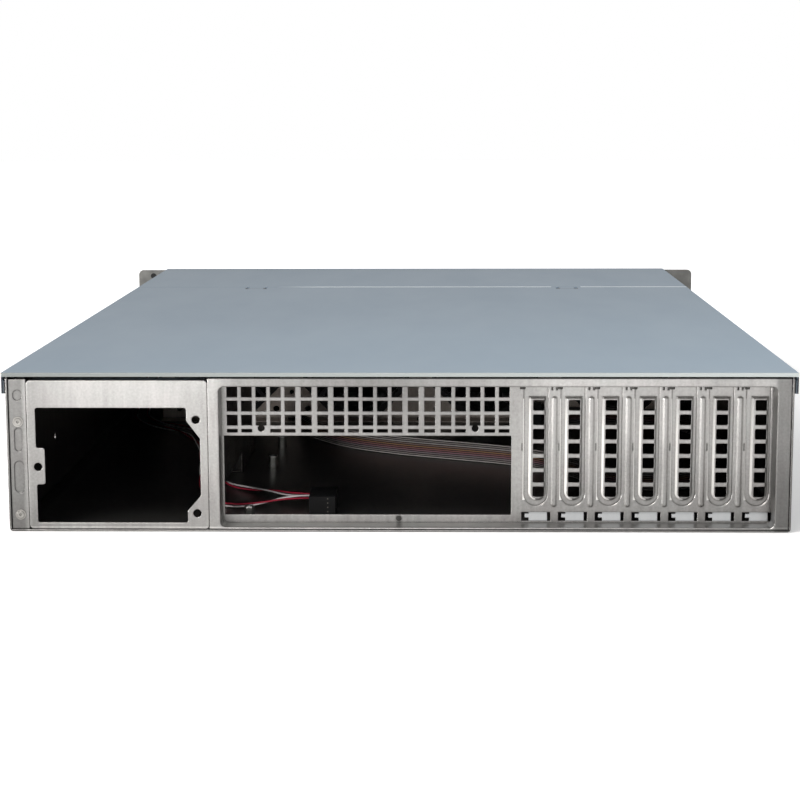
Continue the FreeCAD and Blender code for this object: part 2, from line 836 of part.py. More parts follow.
def psu_plate():
    """Flat plate with the power supply's stepped opening and its three screw holes."""
    outer_y = inward(psu_set_back)
    inner_y = outer_y - panel_sheet
    plate = rounded_plate(psu_left, psu_right, inner_y, outer_y, psu_bottom, psu_top, psu_corner)
    fold = block(psu_left + psu_corner, psu_right - psu_corner, outer_y - psu_flange,
                 outer_y - panel_sheet / 2, psu_top - panel_sheet, psu_top)
    plate = join(plate, [fold])
    opening = prism_xz(psu_outline(), inner_y - cut_past, outer_y + cut_past)
    corners = [e for e in opening.Edges if abs(e.Vertexes[0].Y - e.Vertexes[-1].Y) > panel_sheet]
    opening = opening.makeFillet(psu_cut_fillet, corners)
    holes = [rod(psu_hole_radius, panel_sheet + 2 * cut_past, (x, inner_y - cut_past, z), (0, 1, 0))
             for x, z in psu_hole_places()]
    return plate.cut([opening] + holes)


def psu_hole_places():
    return ((psu_right - psu_right_hole_inset, psu_right_hole_z),
            (psu_left + psu_left_hole_inset, psu_top - psu_upper_hole_drop),
            (psu_left + psu_left_hole_inset, psu_lower_hole_z))


def psu_outline():
    """Stepped outline of the power supply's opening, round from the upper outer corner."""
    top = psu_top - psu_cut_top_drop
    outer = psu_right - psu_cut_right
    step = psu_right - psu_cut_right_step
    inner = psu_left + psu_cut_left
    belly = psu_left + psu_cut_left_belly
    return ((outer, top), (inner, top), (inner, top - psu_belly_end_drop), (belly, psu_belly_high),
            (belly, psu_belly_low), (inner, psu_belly_start), (inner, psu_cut_bottom),
            (outer, psu_cut_bottom), (outer, psu_step_low), (step, psu_step_low), (step, psu_step_high),
            (outer, psu_step_high))


def pad(x, z, width, height, y0, y1):
    """Upright stadium-shaped pad."""
    radius = width / 2
    body = block(x - radius, x + radius, y0, y1, z - height / 2 + radius, z + height / 2 - radius)
    ends = [rod(radius, y1 - y0, (x, y0, z + side * (height / 2 - radius)), (0, 1, 0)) for side in (-1, 1)]
    return body.fuse(ends)


def post_outer_x():
    return post_inner + post_face_width


def corner_post():
    """Angle in the rear corner: narrow face with pressed pads, and a leg along the side wall."""
    outer_y = inward(post_set_back)
    outer_x = post_outer_x()
    face = block(post_inner, outer_x, outer_y - post_sheet, outer_y, post_bottom, post_top)
    leg = block(outer_x - post_sheet, outer_x, outer_y - post_leg, outer_y, post_bottom,
                post_top - post_sheet)
    top_pad = (post_top - post_top_pad_drop, post_top_pad_width, post_top_pad_height)
    dimples = [pad(post_centre, z, width, height, outer_y - pad_depth, outer_y)
               for z, width, height in post_pads + (top_pad,)]
    return join(face, [leg]).cut(dimples)


def panel_stud():
    """Head of the small fastener under the connector opening."""
    return rod(stud_head_radius, stud_head_height, (io_left + stud_offset, inward(recess_depth), stud_z),
               (0, 1, 0))


# ---------------------------------------------------------------------------
# Inside: fan wall, fans, standoffs, power supply stop
# ---------------------------------------------------------------------------

def fan_centres():
    first = wall_right - wall_end_margin - fan_size / 2
    return [first - i * fan_pitch for i in range(fan_count)]


def fan_hole_places(x):
    reach = fan_size / 2 - fan_hole_inset
    return [(x + sx * reach, fan_centre_z + sz * reach) for sx in (-1, 1) for sz in (-1, 1)]


def fan_wall():
    """Folded partition with one eight-sided opening for each fan, a foot and a top fold."""
    rear = inward(fan_wall_depth)
    front = rear - panel_sheet
    plate = block(wall_left, wall_right, front, rear, floor_z, wall_top)
    foot = block(wall_left, wall_right, front, rear + wall_foot, floor_z, floor_z + panel_sheet)
    top_fold = block(wall_left, wall_right, front, rear + wall_top_flange, wall_top - panel_sheet, wall_top)
    wall = join(plate, [foot, top_fold])
    cutters = []
    half = fan_size / 2 - fan_opening_edge
    cut = half - fan_opening_chamfer
    cut_from = front - cut_past
    cut_length = panel_sheet + 2 * cut_past
    for x in fan_centres():
        outline = [(x + sx, fan_centre_z + sz) for sx, sz in (
            (-half, -cut), (-cut, -half), (cut, -half), (half, -cut),
            (half, cut), (cut, half), (-cut, half), (-half, cut))]
        cutters.append(prism_xz(outline, cut_from, cut_from + cut_length))
        for hole_x, hole_z in fan_hole_places(x):
            cutters.append(rod(fan_hole_radius, cut_length, (hole_x, cut_from, hole_z), (0, 1, 0)))
    for x in web_places():
        for z in (web_low_hole_z, case_height - web_high_hole_drop):
            cutters.append(rod(web_hole_radius, cut_length, (x, cut_from, z), (0, 1, 0)))
        cutters.append(wall_screw_hole(x))
    pass_half = ribbon_thickness / 2 + ribbon_pass_side_gap
    pass_top = floor_z + seat_gap + ribbon_width + ribbon_pass_top_gap
    cutters.append(block(ribbon_wall_x - pass_half, ribbon_wall_x + pass_half, cut_from, rear + wall_foot,
                         floor_z, pass_top))
    return wall.cut(cutters)


def wall_screw_y():
    return inward(fan_wall_depth - wall_foot / 2)


def wall_screw_hole(x):
    return rod(screw_shank_radius + screw_hole_clearance, 2 * panel_sheet,
               (x, wall_screw_y(), floor_z - panel_sheet / 2), (0, 0, 1))


def web_places():
    """Middle of each web between two fans."""
    centres = fan_centres()
    return [(a + b) / 2 for a, b in zip(centres, centres[1:])]


def screw(x, y, seat_z):
    """Pan-head screw standing in its hole, with the head on seat_z."""
    head = rod(screw_head_radius, screw_head_height, (x, y, seat_z), (0, 0, 1))
    shank = rod(screw_shank_radius, screw_length, (x, y, seat_z - screw_length), (0, 0, 1))
    return join(head, [shank])


def screws():
    """Screws of the slot covers and of the fan wall's foot."""
    solids = []
    for index in range(slot_count):
        x, y = cover_screw_place(index)
        solids.append(screw(x, y, cover_tab_bottom() + cover_sheet))
    for x in web_places():
        solids.append(wall_screw(x))
    return Part.Compound(solids)


def wall_screw(x):
    """Screw in the fan wall's foot, its end flush with the underside of the foot."""
    seat_z = floor_z + panel_sheet
    head = rod(screw_head_radius, screw_head_height, (x, wall_screw_y(), seat_z), (0, 0, 1))
    shank = rod(screw_shank_radius, panel_sheet, (x, wall_screw_y(), floor_z), (0, 0, 1))
    return join(head, [shank])


def fan_housing(x):
    """Square frame with a round duct, and a motor base on four struts at its rear."""
    rear = inward(fan_wall_depth + panel_sheet)
    front = rear - fan_thickness
    half = fan_size / 2
    frame = rounded_plate(x - half, x + half, front, rear, fan_centre_z - half, fan_centre_z + half,
                          fan_corner_radius)
    frame = frame.cut(rod(fan_bore_radius, fan_thickness, (x, front, fan_centre_z), (0, 1, 0)))
    base = rod(fan_hub_radius, fan_base_thickness, (x, rear - fan_base_thickness, fan_centre_z), (0, 1, 0))
    struts = []
    for i in range(fan_strut_count):
        strut = block(fan_hub_radius / 2, fan_bore_radius + fan_wall_thickness / 2, -fan_base_thickness, 0,
                      -fan_strut_width / 2, fan_strut_width / 2)
        strut.rotate(V(0, 0, 0), V(0, 1, 0), fan_strut_turn + i * 360 / fan_strut_count)
        strut.translate(V(x, rear, fan_centre_z))
        struts.append(strut)
    frame = join(frame, [base] + struts)
    bearing = rod(fan_shaft_radius + fan_running_fit, fan_base_thickness,
                  (x, rear - fan_base_thickness, fan_centre_z), (0, 1, 0))
    holes = [rod(fan_hole_radius, fan_thickness, (hx, front, hz), (0, 1, 0)) for hx, hz in fan_hole_places(x)]
    return frame.cut([bearing] + holes)


def fan_blade(chord, root, tip):
    """Curved blade: an arc-shaped section carried from root to tip, set at the blade angle."""
    half = chord / 2
    sag = chord * fan_blade_sag
    thin = fan_blade_sheet
    outer = Part.Arc(V(root, -half, 0), V(root, 0, sag), V(root, half, 0)).toShape()
    inner = Part.Arc(V(root, half, -thin), V(root, 0, sag - thin), V(root, -half, -thin)).toShape()
    ends = [Part.makeLine(V(root, half, 0), V(root, half, -thin)),
            Part.makeLine(V(root, -half, -thin), V(root, -half, 0))]
    blade = Part.Face(Part.Wire([outer, ends[0], inner, ends[1]])).extrude(V(tip - root, 0, 0))
    blade.rotate(V(0, 0, 0), V(1, 0, 0), fan_blade_angle)
    return blade


def fan_rotor(x):
    """Hub with curved, pitched blades and its shaft."""
    housing_rear = inward(fan_wall_depth + panel_sheet)
    base_front = housing_rear - fan_base_thickness
    rear = base_front - fan_rotor_end_gap
    front = housing_rear - fan_thickness + fan_rotor_front_gap
    hub = rod(fan_hub_radius - seat_gap, rear - front, (x, front, fan_centre_z), (0, 1, 0))
    tip = fan_bore_radius - fan_tip_gap
    blades = []
    for i in range(fan_blade_count):
        blade = fan_blade(rear - front, fan_hub_radius / 2, tip)
        blade.rotate(V(0, 0, 0), V(0, 1, 0), i * 360 / fan_blade_count)
        blade.translate(V(x, (rear + front) / 2, fan_centre_z))
        blades.append(blade)
    envelope = rod(tip, rear - front, (x, front, fan_centre_z), (0, 1, 0))
    rotor = join(hub, blades).common(envelope)
    shaft = rod(fan_shaft_radius, housing_rear - front, (x, front, fan_centre_z), (0, 1, 0))
    return join(rotor, [shaft])


def hexagon_post(x, y, z0, z1, across_flats):
    radius = across_flats / math.sqrt(3)
    angles = [k * 2 * math.pi / hexagon_sides for k in range(hexagon_sides + 1)]
    loop = [V(x + radius * math.cos(angle), y + radius * math.sin(angle), z0) for angle in angles]
    return Part.Face(Part.makePolygon(loop)).extrude(V(0, 0, z1 - z0))


def board_standoffs():
    posts = []
    for column in (0, board_far_column):
        for row in (0, board_middle_row, board_far_row):
            x = standoff_first_x - column
            y = inward(standoff_first_depth + row)
            post = hexagon_post(x, y, floor_z, standoff_top, standoff_across_flats)
            posts.append(post.cut(rod(standoff_thread_radius, standoff_thread_depth,
                                      (x, y, standoff_top - standoff_thread_depth), (0, 0, 1))))
    return Part.Compound(posts)


def psu_divider():
    """Upright sheet beside the power supply: a foot, a top fold, an end stop and a pass for the leads."""
    x = psu_left - psu_divider_gap
    top = case_height - psu_divider_top_gap
    rear = inward(psu_divider_rear)
    front = inward(psu_divider_front)
    upright = block(x - panel_sheet, x, front, rear, floor_z, top)
    foot = block(x - panel_sheet, x + psu_divider_foot, front, rear, floor_z, floor_z + panel_sheet)
    fold = block(x - panel_sheet, x + psu_divider_fold, front, rear, top - panel_sheet, top)
    stop = block(x - panel_sheet, x + psu_divider_stop, front, front + panel_sheet, floor_z, top)
    lead_pass = block(x - psu_divider_foot, x + 2 * psu_divider_foot, inward(lead_pass_front),
                      inward(lead_pass_rear), floor_z - cut_past, floor_z + lead_pass_height)
    return join(upright, [foot, fold, stop]).cut(lead_pass)


# ---------------------------------------------------------------------------
# Drive bays
# ---------------------------------------------------------------------------

def bay_centre(column):
    return (column - (bay_columns - 1) / 2) * bay_pitch_x


def carrier_z(row):
    return carrier_first_z + row * bay_pitch_z


def cage_rear():
    return inward(case_depth - cage_depth)


def cage_front():
    return inward(case_depth - cage_front_gap)


def cage_top():
    return carrier_z(bay_rows - 1) + carrier_height + cage_plate_gap


def ledge(edge_x, direction, row):
    top = carrier_z(row) - seat_gap
    return block(edge_x, edge_x + direction * rail_ledge_width, cage_front(), cage_rear(),
                 top - rail_ledge_thickness, top)


def bay_divider(index):
    """Upright partition between two columns of bays, with a ledge on each side and a foot."""
    x = (index - (bay_columns / 2 - 1)) * bay_pitch_x
    half = divider_sheet / 2
    plate = block(x - half, x + half, cage_front(), cage_rear(), floor_z, cage_top())
    foot_top = carrier_z(0) - seat_gap
    pieces = [block(x - divider_foot, x + divider_foot, cage_front(), cage_rear(), floor_z, foot_top)]
    for row in range(1, bay_rows):
        pieces.append(ledge(x + half, 1, row))
        pieces.append(ledge(x - half, -1, row))
    return join(plate, pieces)


def cage_shell():
    """Folded sheet over the bays: top plate, two sides against the walls, feet and ledges for carriers."""
    front = cage_front() + panel_sheet + seat_gap
    half = inner_half - cage_side_gap
    top_plate = block(-half, half, front, cage_rear(), cage_top(), cage_top() + cage_plate)
    pieces = []
    for side in (-1, 1):
        outer = side * half
        inner = side * (half - divider_sheet)
        pieces.append(block(outer, inner, front, cage_rear(), floor_z, cage_top() + cage_plate))
        pieces.append(block(outer, inner - side * rail_ledge_width, front, cage_rear(), floor_z,
                            carrier_z(0) - seat_gap))
        for row in range(1, bay_rows):
            pieces.append(ledge(inner, -side, row))
    return join(top_plate, pieces)


def bezel_slots(x, z_middle, y0, y1):
    slots = []
    for i in range(bezel_slot_count):
        middle = x + (i - (bezel_slot_count - 1) / 2) * bezel_slot_pitch
        for side in (-1, 1):
            z = z_middle + side * bezel_slot_offset
            slots.append(block(middle - bezel_slot_length / 2, middle + bezel_slot_length / 2, y0, y1,
                               z - bezel_slot_height / 2, z + bezel_slot_height / 2))
    return slots


def bezel_front():
    return inward(case_depth + bezel_proud)


def lever_axis(column):
    """X and Y of the lever's pin."""
    x = bay_centre(column) + lever_recess_length / 2 - lever_end_gap
    return x, bezel_front() + lever_recess_depth / 2


def carrier(column, row):
    """Drive carrier: two side rails on an open floor, and a vented bezel with a recess for the lever."""
    x = bay_centre(column)
    z = carrier_z(row)
    half = carrier_width / 2
    front = bezel_front()
    behind_bezel = front + bezel_thickness
    rear = cage_rear() - carrier_rear_gap
    body = block(x - half, x + half, behind_bezel, rear, z, z + carrier_side_height)
    body = body.cut(block(x - half + carrier_wall, x + half - carrier_wall, behind_bezel, rear,
                          z + carrier_floor, z + carrier_side_height))
    middle_y = (behind_bezel + rear) / 2
    for side in (-1, 1):
        window_y = middle_y + side * carrier_window_pitch / 2
        body = body.cut(block(x - carrier_window_x / 2, x + carrier_window_x / 2,
                              window_y - carrier_window_y / 2, window_y + carrier_window_y / 2,
                              z, z + carrier_floor))
    bezel = block(x - half, x + half, front, behind_bezel, z, z + carrier_height)
    middle_z = z + carrier_height / 2
    recess = block(x - lever_recess_length / 2, x + lever_recess_length / 2, front,
                   front + lever_recess_depth,
                   middle_z - lever_recess_height / 2, middle_z + lever_recess_height / 2)
    axis_x, axis_y = lever_axis(column)
    bore_half = lever_recess_height / 2 + lever_pin_bite + lever_pin_end_gap
    bore = rod(lever_pin_radius + lever_pin_fit, 2 * bore_half, (axis_x, axis_y, middle_z - bore_half),
               (0, 0, 1))
    cutters = [recess, bore] + bezel_slots(x, middle_z, front, behind_bezel)
    return join(bezel, [body]).cut(cutters)


def lever(column, row):
    """Flat handle with its pin moulded on, and a finger grip pressed into the free end."""
    axis_x, axis_y = lever_axis(column)
    middle_z = carrier_z(row) + carrier_height / 2
    half_z = lever_recess_height / 2 - lever_side_gap
    half_y = lever_thickness / 2
    bar = block(axis_x - lever_length, axis_x, axis_y - half_y, axis_y + half_y,
                middle_z - half_z, middle_z + half_z)
    barrel = rod(half_y, 2 * half_z, (axis_x, axis_y, middle_z - half_z), (0, 0, 1))
    pin_half = lever_recess_height / 2 + lever_pin_bite
    pin = rod(lever_pin_radius, 2 * pin_half, (axis_x, axis_y, middle_z - pin_half), (0, 0, 1))
    handle = join(bar, [barrel, pin])
    grip_start = axis_x - lever_length + lever_grip_inset
    grip = block(grip_start, grip_start + lever_grip_length, axis_y - half_y,
                 axis_y - half_y + lever_grip_depth,
                 middle_z - half_z + lever_grip_border, middle_z + half_z - lever_grip_border)
    return handle.cut(grip)


def backplane():
    """Circuit board across the rear of the bays, with air windows."""
    rear = cage_rear() + seat_gap + backplane_thickness
    front = cage_rear() + seat_gap
    half = inner_half - backplane_side_gap
    board = block(-half, half, front, rear, floor_z + backplane_bottom_gap, cage_top() - backplane_top_gap)
    window_half = bay_pitch_x / 2 - backplane_window_side
    windows = []
    for column in range(bay_columns):
        x = bay_centre(column)
        for row in range(bay_rows):
            z = carrier_z(row) + backplane_window_rise
            windows.append(block(x - window_half, x + window_half, front, rear, z - backplane_window_z / 2,
                                 z + backplane_window_z / 2))
    return board.cut(windows)


def backplane_connectors():
    front = cage_rear() + seat_gap
    solids = []
    for column in range(bay_columns):
        for row in range(bay_rows):
            x = bay_centre(column)
            z = carrier_z(row) + connector_offset_z
            solids.append(block(x - connector_width / 2, x + connector_width / 2, front - connector_length,
                                front,
                                z - connector_height / 2, z + connector_height / 2))
    return Part.Compound(solids)


# ---------------------------------------------------------------------------
# Front panel, buttons, lamps, ears
# ---------------------------------------------------------------------------

def panel_bottom():
    return cage_top() + cage_plate + panel_bottom_gap


def panel_top():
    return case_height - lid_sheet - panel_top_gap


def controls_z():
    return (panel_bottom() + panel_top()) / 2


def front_panel():
    """Vented strip above the bays, folded back along its top and bottom edges."""
    front = inward(case_depth)
    back = front + panel_sheet
    half = inner_half - panel_side_gap
    bottom = panel_bottom()
    top = panel_top()
    plate = block(-half, half, front, back, bottom, top)
    lower_fold = block(-half, half, front, front + panel_fold, bottom, bottom + panel_sheet)
    upper_fold = block(-half + top_flange_width, half - top_flange_width, front, front + panel_fold,
                       top - panel_sheet, top)
    panel = join(plate, [lower_fold, upper_fold])
    z = controls_z()
    cutters = []
    for i in range(panel_vent_count):
        x = panel_vent_first_x + i * panel_vent_pitch
        cutters.append(block(x - panel_vent_width / 2, x + panel_vent_width / 2, front, back,
                             bottom + panel_vent_margin, top - panel_vent_margin))
    for x, radius in ((button_x, power_button_radius), (reset_x, reset_button_radius)):
        cutters.append(rod(radius + button_side_gap, panel_sheet, (x, front, z), (0, 1, 0)))
    return panel.cut(cutters)


def button(x, radius):
    """Push button: cap through the panel, a flange behind it and a stem towards the switch."""
    front = inward(case_depth)
    flange_y = front + panel_sheet + button_stop_gap
    z = controls_z()
    cap = rod(radius, button_proud + panel_sheet + button_stop_gap, (x, front - button_proud, z), (0, 1, 0))
    flange = rod(radius + button_flange, button_flange_thickness, (x, flange_y, z), (0, 1, 0))
    stem = rod(radius / 2, button_stem, (x, flange_y, z), (0, 1, 0))
    return join(cap, [flange, stem])


def control_board_front():
    stem_end = inward(case_depth) + panel_sheet + button_stop_gap + button_stem
    return stem_end + button_travel + seat_gap + switch_size / 2


def control_board():
    """Small board behind the buttons, with two switches, on two posts from the panel."""
    front = inward(case_depth)
    board_front = control_board_front()
    switch_front = board_front - switch_size / 2
    z = controls_z()
    left = button_x - board_margin
    right = reset_x + board_margin
    board = block(left, right, board_front, board_front + board_thickness, panel_bottom() + board_edge_gap,
                  panel_top() - board_edge_gap)
    pieces = []
    for x in (button_x, reset_x):
        pieces.append(block(x - switch_size / 2, x + switch_size / 2, switch_front, board_front,
                            z - switch_size / 2, z + switch_size / 2))
    for x in (left + board_post_inset, right - board_post_inset):
        pieces.append(rod(board_post_radius, board_front - front - panel_sheet, (x, front + panel_sheet, z),
                          (0, 1, 0)))
    return join(board, pieces)


def rack_slot(x, z, y0, y1):
    """Rack hole lying on its side, with round ends."""
    reach = rack_slot_length / 2 - rack_slot_half_height
    body = block(x - reach, x + reach, y0, y1, z - rack_slot_half_height, z + rack_slot_half_height)
    ends = [rod(rack_slot_half_height, y1 - y0, (x + side * reach, y0, z), (0, 1, 0)) for side in (-1, 1)]
    return body.fuse(ends)


def rack_ear(side):
    """Angle riveted to the side wall, its face slotted for the rack."""
    front = inward(case_depth)
    root = side * (body_width / 2 + ear_wall_gap)
    tip = side * ear_span / 2
    face = block(root, tip, front, front + ear_sheet, ear_bottom, case_height - ear_top_gap)
    corners = [e for e in face.Edges
               if abs(e.Vertexes[0].X - tip) < same_place and abs(e.Vertexes[-1].X - tip) < same_place
               and abs(e.Vertexes[0].Y - e.Vertexes[-1].Y) > ear_sheet / 2]
    face = face.makeFillet(ear_corner, corners)
    face = face.cut(block(root, side * (lid_width / 2 + seat_gap), front, front + ear_sheet,
                          case_height - top_side_flange - seat_gap, case_height))
    leg = block(root, root + side * ear_sheet, front, front + ear_leg_depth, ear_leg_bottom,
                case_height - ear_leg_top_gap)
    ear = join(face, [leg])
    middle_z = case_height / 2
    for z in (middle_z - rack_hole_pitch / 2, middle_z + rack_hole_pitch / 2):
        ear = ear.cut(rack_slot(side * rack_hole_span / 2, z, front, front + ear_sheet))
    return ear


def rivet_head(base, direction):
    """Blind rivet's head: flange, low crown and the hollow left by its pin."""
    base = V(*base)
    along = V(*direction)
    crown = rod(rivet_head_radius, rivet_head_height, base, along)
    flange = rod(rivet_flange_radius, rivet_flange_height, base, along)
    floor = base + along * (rivet_head_height - rivet_hollow_depth)
    return crown.fuse(flange).cut(rod(rivet_hollow_radius, rivet_hollow_depth, floor, along))


def rivets():
    """Rivets of the ears and the corner post, and the plug in one ear's spare hole."""
    x = body_width / 2 + ear_wall_gap + ear_sheet
    y = inward(case_depth) + ear_leg_depth - ear_rivet_inset
    heads = []
    for side in (-1, 1):
        for z in ear_rivet_z:
            heads.append(rivet_head((side * x, y, z), (side, 0, 0)))
    for z in post_rivet_z:
        heads.append(rivet_head((post_centre, inward(post_set_back), z), (0, 1, 0)))
    plug_x = ear_span / 2 - ear_plug_inset
    plug_z = case_height - ear_top_gap - ear_plug_drop
    heads.append(rod(ear_plug_radius, ear_plug_height, (plug_x, inward(case_depth) + ear_sheet, plug_z),
                     (0, 1, 0)))
    return Part.Compound(heads)


# ---------------------------------------------------------------------------
# Leads
# ---------------------------------------------------------------------------

def ribbon_points():
    return [(x, inward(d), floor_z + seat_gap) for x, d in ribbon_route]


def ribbon_lead():
    """Flat ribbon on its edge on the floor."""
    wire = route_wire(ribbon_points(), ribbon_thickness)
    start, following = (V(*p) for p in ribbon_points()[:2])
    across = (following - start).cross(V(0, 0, 1)).normalize() * (ribbon_thickness / 2)
    up = V(0, 0, ribbon_width)
    profile = Part.makePolygon([start - across, start + across, start + across + up, start - across + up,
                                start - across])
    return swept(wire, profile, ribbon_width * ribbon_thickness)


def ribbon_plugs():
    """Connector at each end of the ribbon, in line with its end runs."""
    points = ribbon_points()
    return Part.Compound([end_block(points[1], points[0]), end_block(points[-2], points[-1])])


def end_block(before, end):
    """Plug body that continues a ribbon's end run."""
    run = V(*end) - V(*before)
    z0 = floor_z + seat_gap
    body = block(0, ribbon_plug_length, -ribbon_plug_width / 2, ribbon_plug_width / 2, z0,
                 z0 + ribbon_plug_height)
    body.rotate(V(0, 0, 0), V(0, 0, 1), math.degrees(math.atan2(run.y, run.x)))
    body.translate(V(end[0], end[1], 0))
    return body


def lead_points(route, board_x, entry):
    """From the rear face of the control board, along the route, to the plug."""
    board_rear = control_board_front() + board_thickness
    depth, z = entry
    z0 = controls_z() - control_lead_drop
    leave = [(board_x, board_rear, z0), (board_x, board_rear + lead_straight, z0)]
    middle = [(x, inward(d), height) for x, d, height in route]
    enter = [(lead_plug_x + lead_straight, inward(depth), z), (lead_plug_x, inward(depth), z)]
    return leave + middle + enter


def power_lead_points():
    return lead_points(power_lead_route, button_x, lead_plug_entry[0])


def reset_lead_points():
    return lead_points(reset_lead_route, reset_x, lead_plug_entry[1])


def round_lead(points):
    """Thin lead as a plain round tube."""
    wire = route_wire(points, lead_diameter)
    start, following = (V(*p) for p in points[:2])
    ring = Part.Wire(Part.Circle(start, following - start, lead_diameter / 2).toShape())
    return swept(wire, ring, math.pi * (lead_diameter / 2) ** 2)


def lead_plug():
    """Board plug that lies on the floor at the end of the two leads."""
    z0 = floor_z + seat_gap
    return block(lead_plug_x - lead_plug_length, lead_plug_x, inward(lead_plug_front), inward(lead_plug_rear),
                 z0, z0 + lead_plug_height)


# ---------------------------------------------------------------------------
# Write every piece
# ---------------------------------------------------------------------------

os.makedirs("parts", exist_ok=True)

save("chassis_tray", chassis_tray())
save("lid", lid())
save("front_top", front_top())
save("rear_panel", rear_panel())
for slot in range(slot_count):
    save("slot_cover_%d" % (slot + 1), slot_cover(slot))
save("psu_plate", psu_plate())
save("corner_post", corner_post())
save("panel_stud", panel_stud())
save("fan_wall", fan_wall())
save("screws", screws())
for number, fan_x in enumerate(fan_centres()):
    save("fan_housing_%d" % (number + 1), fan_housing(fan_x))
    save("fan_rotor_%d" % (number + 1), fan_rotor(fan_x))
save("board_standoffs", board_standoffs())
save("psu_divider", psu_divider())
for number in range(bay_columns - 1):
    save("bay_divider_%d" % (number + 1), bay_divider(number))
save("cage_shell", cage_shell())
for bay_row in range(bay_rows):
    for bay_column in range(bay_columns):
        bay = bay_row * bay_columns + bay_column + 1
        save("drive_carrier_%d" % bay, carrier(bay_column, bay_row))
        save("carrier_lever_%d" % bay, lever(bay_column, bay_row))
save("drive_backplane", backplane())
save("drive_connectors", backplane_connectors())
save("front_panel", front_panel())
save("power_button", button(button_x, power_button_radius))
save("reset_button", button(reset_x, reset_button_radius))
save("control_board", control_board())
save("rack_ear_left", rack_ear(-1))
save("rack_ear_right", rack_ear(1))
save("rivets", rivets())
save("ribbon_lead", ribbon_lead())
save("ribbon_plugs", ribbon_plugs())
save("power_lead", round_lead(power_lead_points()))
save("reset_lead", round_lead(reset_lead_points()))
save("lead_plug", lead_plug())
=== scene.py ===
import json
import math

import bpy
from mathutils import Matrix, Vector


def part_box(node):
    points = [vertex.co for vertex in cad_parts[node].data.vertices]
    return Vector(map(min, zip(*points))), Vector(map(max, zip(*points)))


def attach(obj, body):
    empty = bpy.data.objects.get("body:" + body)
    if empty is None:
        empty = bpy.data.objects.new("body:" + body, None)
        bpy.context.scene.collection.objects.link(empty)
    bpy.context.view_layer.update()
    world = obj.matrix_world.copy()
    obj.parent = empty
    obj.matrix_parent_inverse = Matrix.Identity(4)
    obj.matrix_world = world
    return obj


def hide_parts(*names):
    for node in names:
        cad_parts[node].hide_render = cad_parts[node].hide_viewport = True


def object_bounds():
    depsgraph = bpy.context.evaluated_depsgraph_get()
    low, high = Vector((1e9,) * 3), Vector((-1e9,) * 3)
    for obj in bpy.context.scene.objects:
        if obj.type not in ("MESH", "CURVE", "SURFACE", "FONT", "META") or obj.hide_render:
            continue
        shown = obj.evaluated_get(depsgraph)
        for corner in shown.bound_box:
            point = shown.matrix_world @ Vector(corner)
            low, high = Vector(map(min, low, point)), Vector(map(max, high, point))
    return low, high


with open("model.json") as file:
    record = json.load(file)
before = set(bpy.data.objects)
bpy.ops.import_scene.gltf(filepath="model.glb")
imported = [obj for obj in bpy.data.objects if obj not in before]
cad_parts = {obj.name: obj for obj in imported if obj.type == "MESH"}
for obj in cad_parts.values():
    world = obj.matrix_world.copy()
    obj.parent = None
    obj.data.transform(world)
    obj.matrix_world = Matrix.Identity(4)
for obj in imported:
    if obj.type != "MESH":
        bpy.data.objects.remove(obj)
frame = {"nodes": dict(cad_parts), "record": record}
cad_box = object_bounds()

MM = 0.001
CASE = "case"


# ---------------------------------------------------------------------------
# Sizes of the pieces that are dressed here, in metres
# ---------------------------------------------------------------------------

# The case: x runs from right to left as seen from behind, y to the rear, z up

REAR = cad_box[1][1]
TOP = cad_box[1][2]
SIDE = 0.216
SIDE_BEND = 213.6 * MM
COLUMN_EDGE = 203.5 * MM
SKIN = 0.5 * MM
UNDER_LIP = 4.0 * MM

# Rear panel: where its lower painted light starts to turn into the upper, over what height, and its foot's
# two bands

PAINTED_LIGHT_START = 16 * MM
PAINTED_LIGHT_RISE = 62 * MM
FOOT_LIGHTER = (1.5 * MM, 2.7 * MM)
FOOT_SEAM = (0.9 * MM, 1.5 * MM)

# Recess, slots and slot covers of the rear panel; the two slot spans are shares of the pitch

RECESS_WALL = (97.1 * MM, 98.7 * MM)
RECESS_DEPTH = 13.0 * MM
RECESS_FRONT = 0.8 * MM
SLOT_PITCH = 20.32 * MM
SLOT_STEPS = 6
COVER_LOW, COVER_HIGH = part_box("slot_cover_1")
FIRST_SLOT = (COVER_LOW[0] + COVER_HIGH[0]) / 2
COVER_FACE = COVER_LOW[1] + 0.8 * MM
TONGUE_SPAN = (0.19, 0.86)
TONGUE_HEIGHT = (3.2 * MM, 8.3 * MM)
SLOPE_SPAN = (0.15, 0.5)
SLOPE_HEIGHT = (15 * MM, 71.7 * MM)
SLOPE_DEPTH = (0.12 * MM, 1.38 * MM)

# Lid: its rear lip and hems, and the painted highlight and painted shade of what is pressed along its front
# seam, measured back from the seam

LID_LOW, LID_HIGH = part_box("lid")
LID_LIP = 2.3 * MM
HEM_WIDTH = 2.0 * MM
HEM_CORE = (0.75 * MM, 1.25 * MM)
HOOK_X = 121.5 * MM
HOOK_CLEAR = 11.5 * MM
FOLD_HIGHLIGHT = (-3.8 * MM, -0.4 * MM)
FOLD_HIGHLIGHT_END = 107 * MM
NOTCH_BESIDE = (5.4 * MM, 8.6 * MM)
NOTCH = (5 * MM, 15 * MM)
CREASE_BESIDE = 5.5 * MM
CREASE = (9 * MM, 14 * MM)
LEDGE = (SKIN, 20 * MM)
LEDGE_DROP = 0.85 * MM
LEDGE_SIDE = 0.2

# Fasteners

FLANGE_PLUG_Y = -0.3
POST_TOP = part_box("board_standoffs")[1][2] - 0.9 * MM

# Ribbon and leads

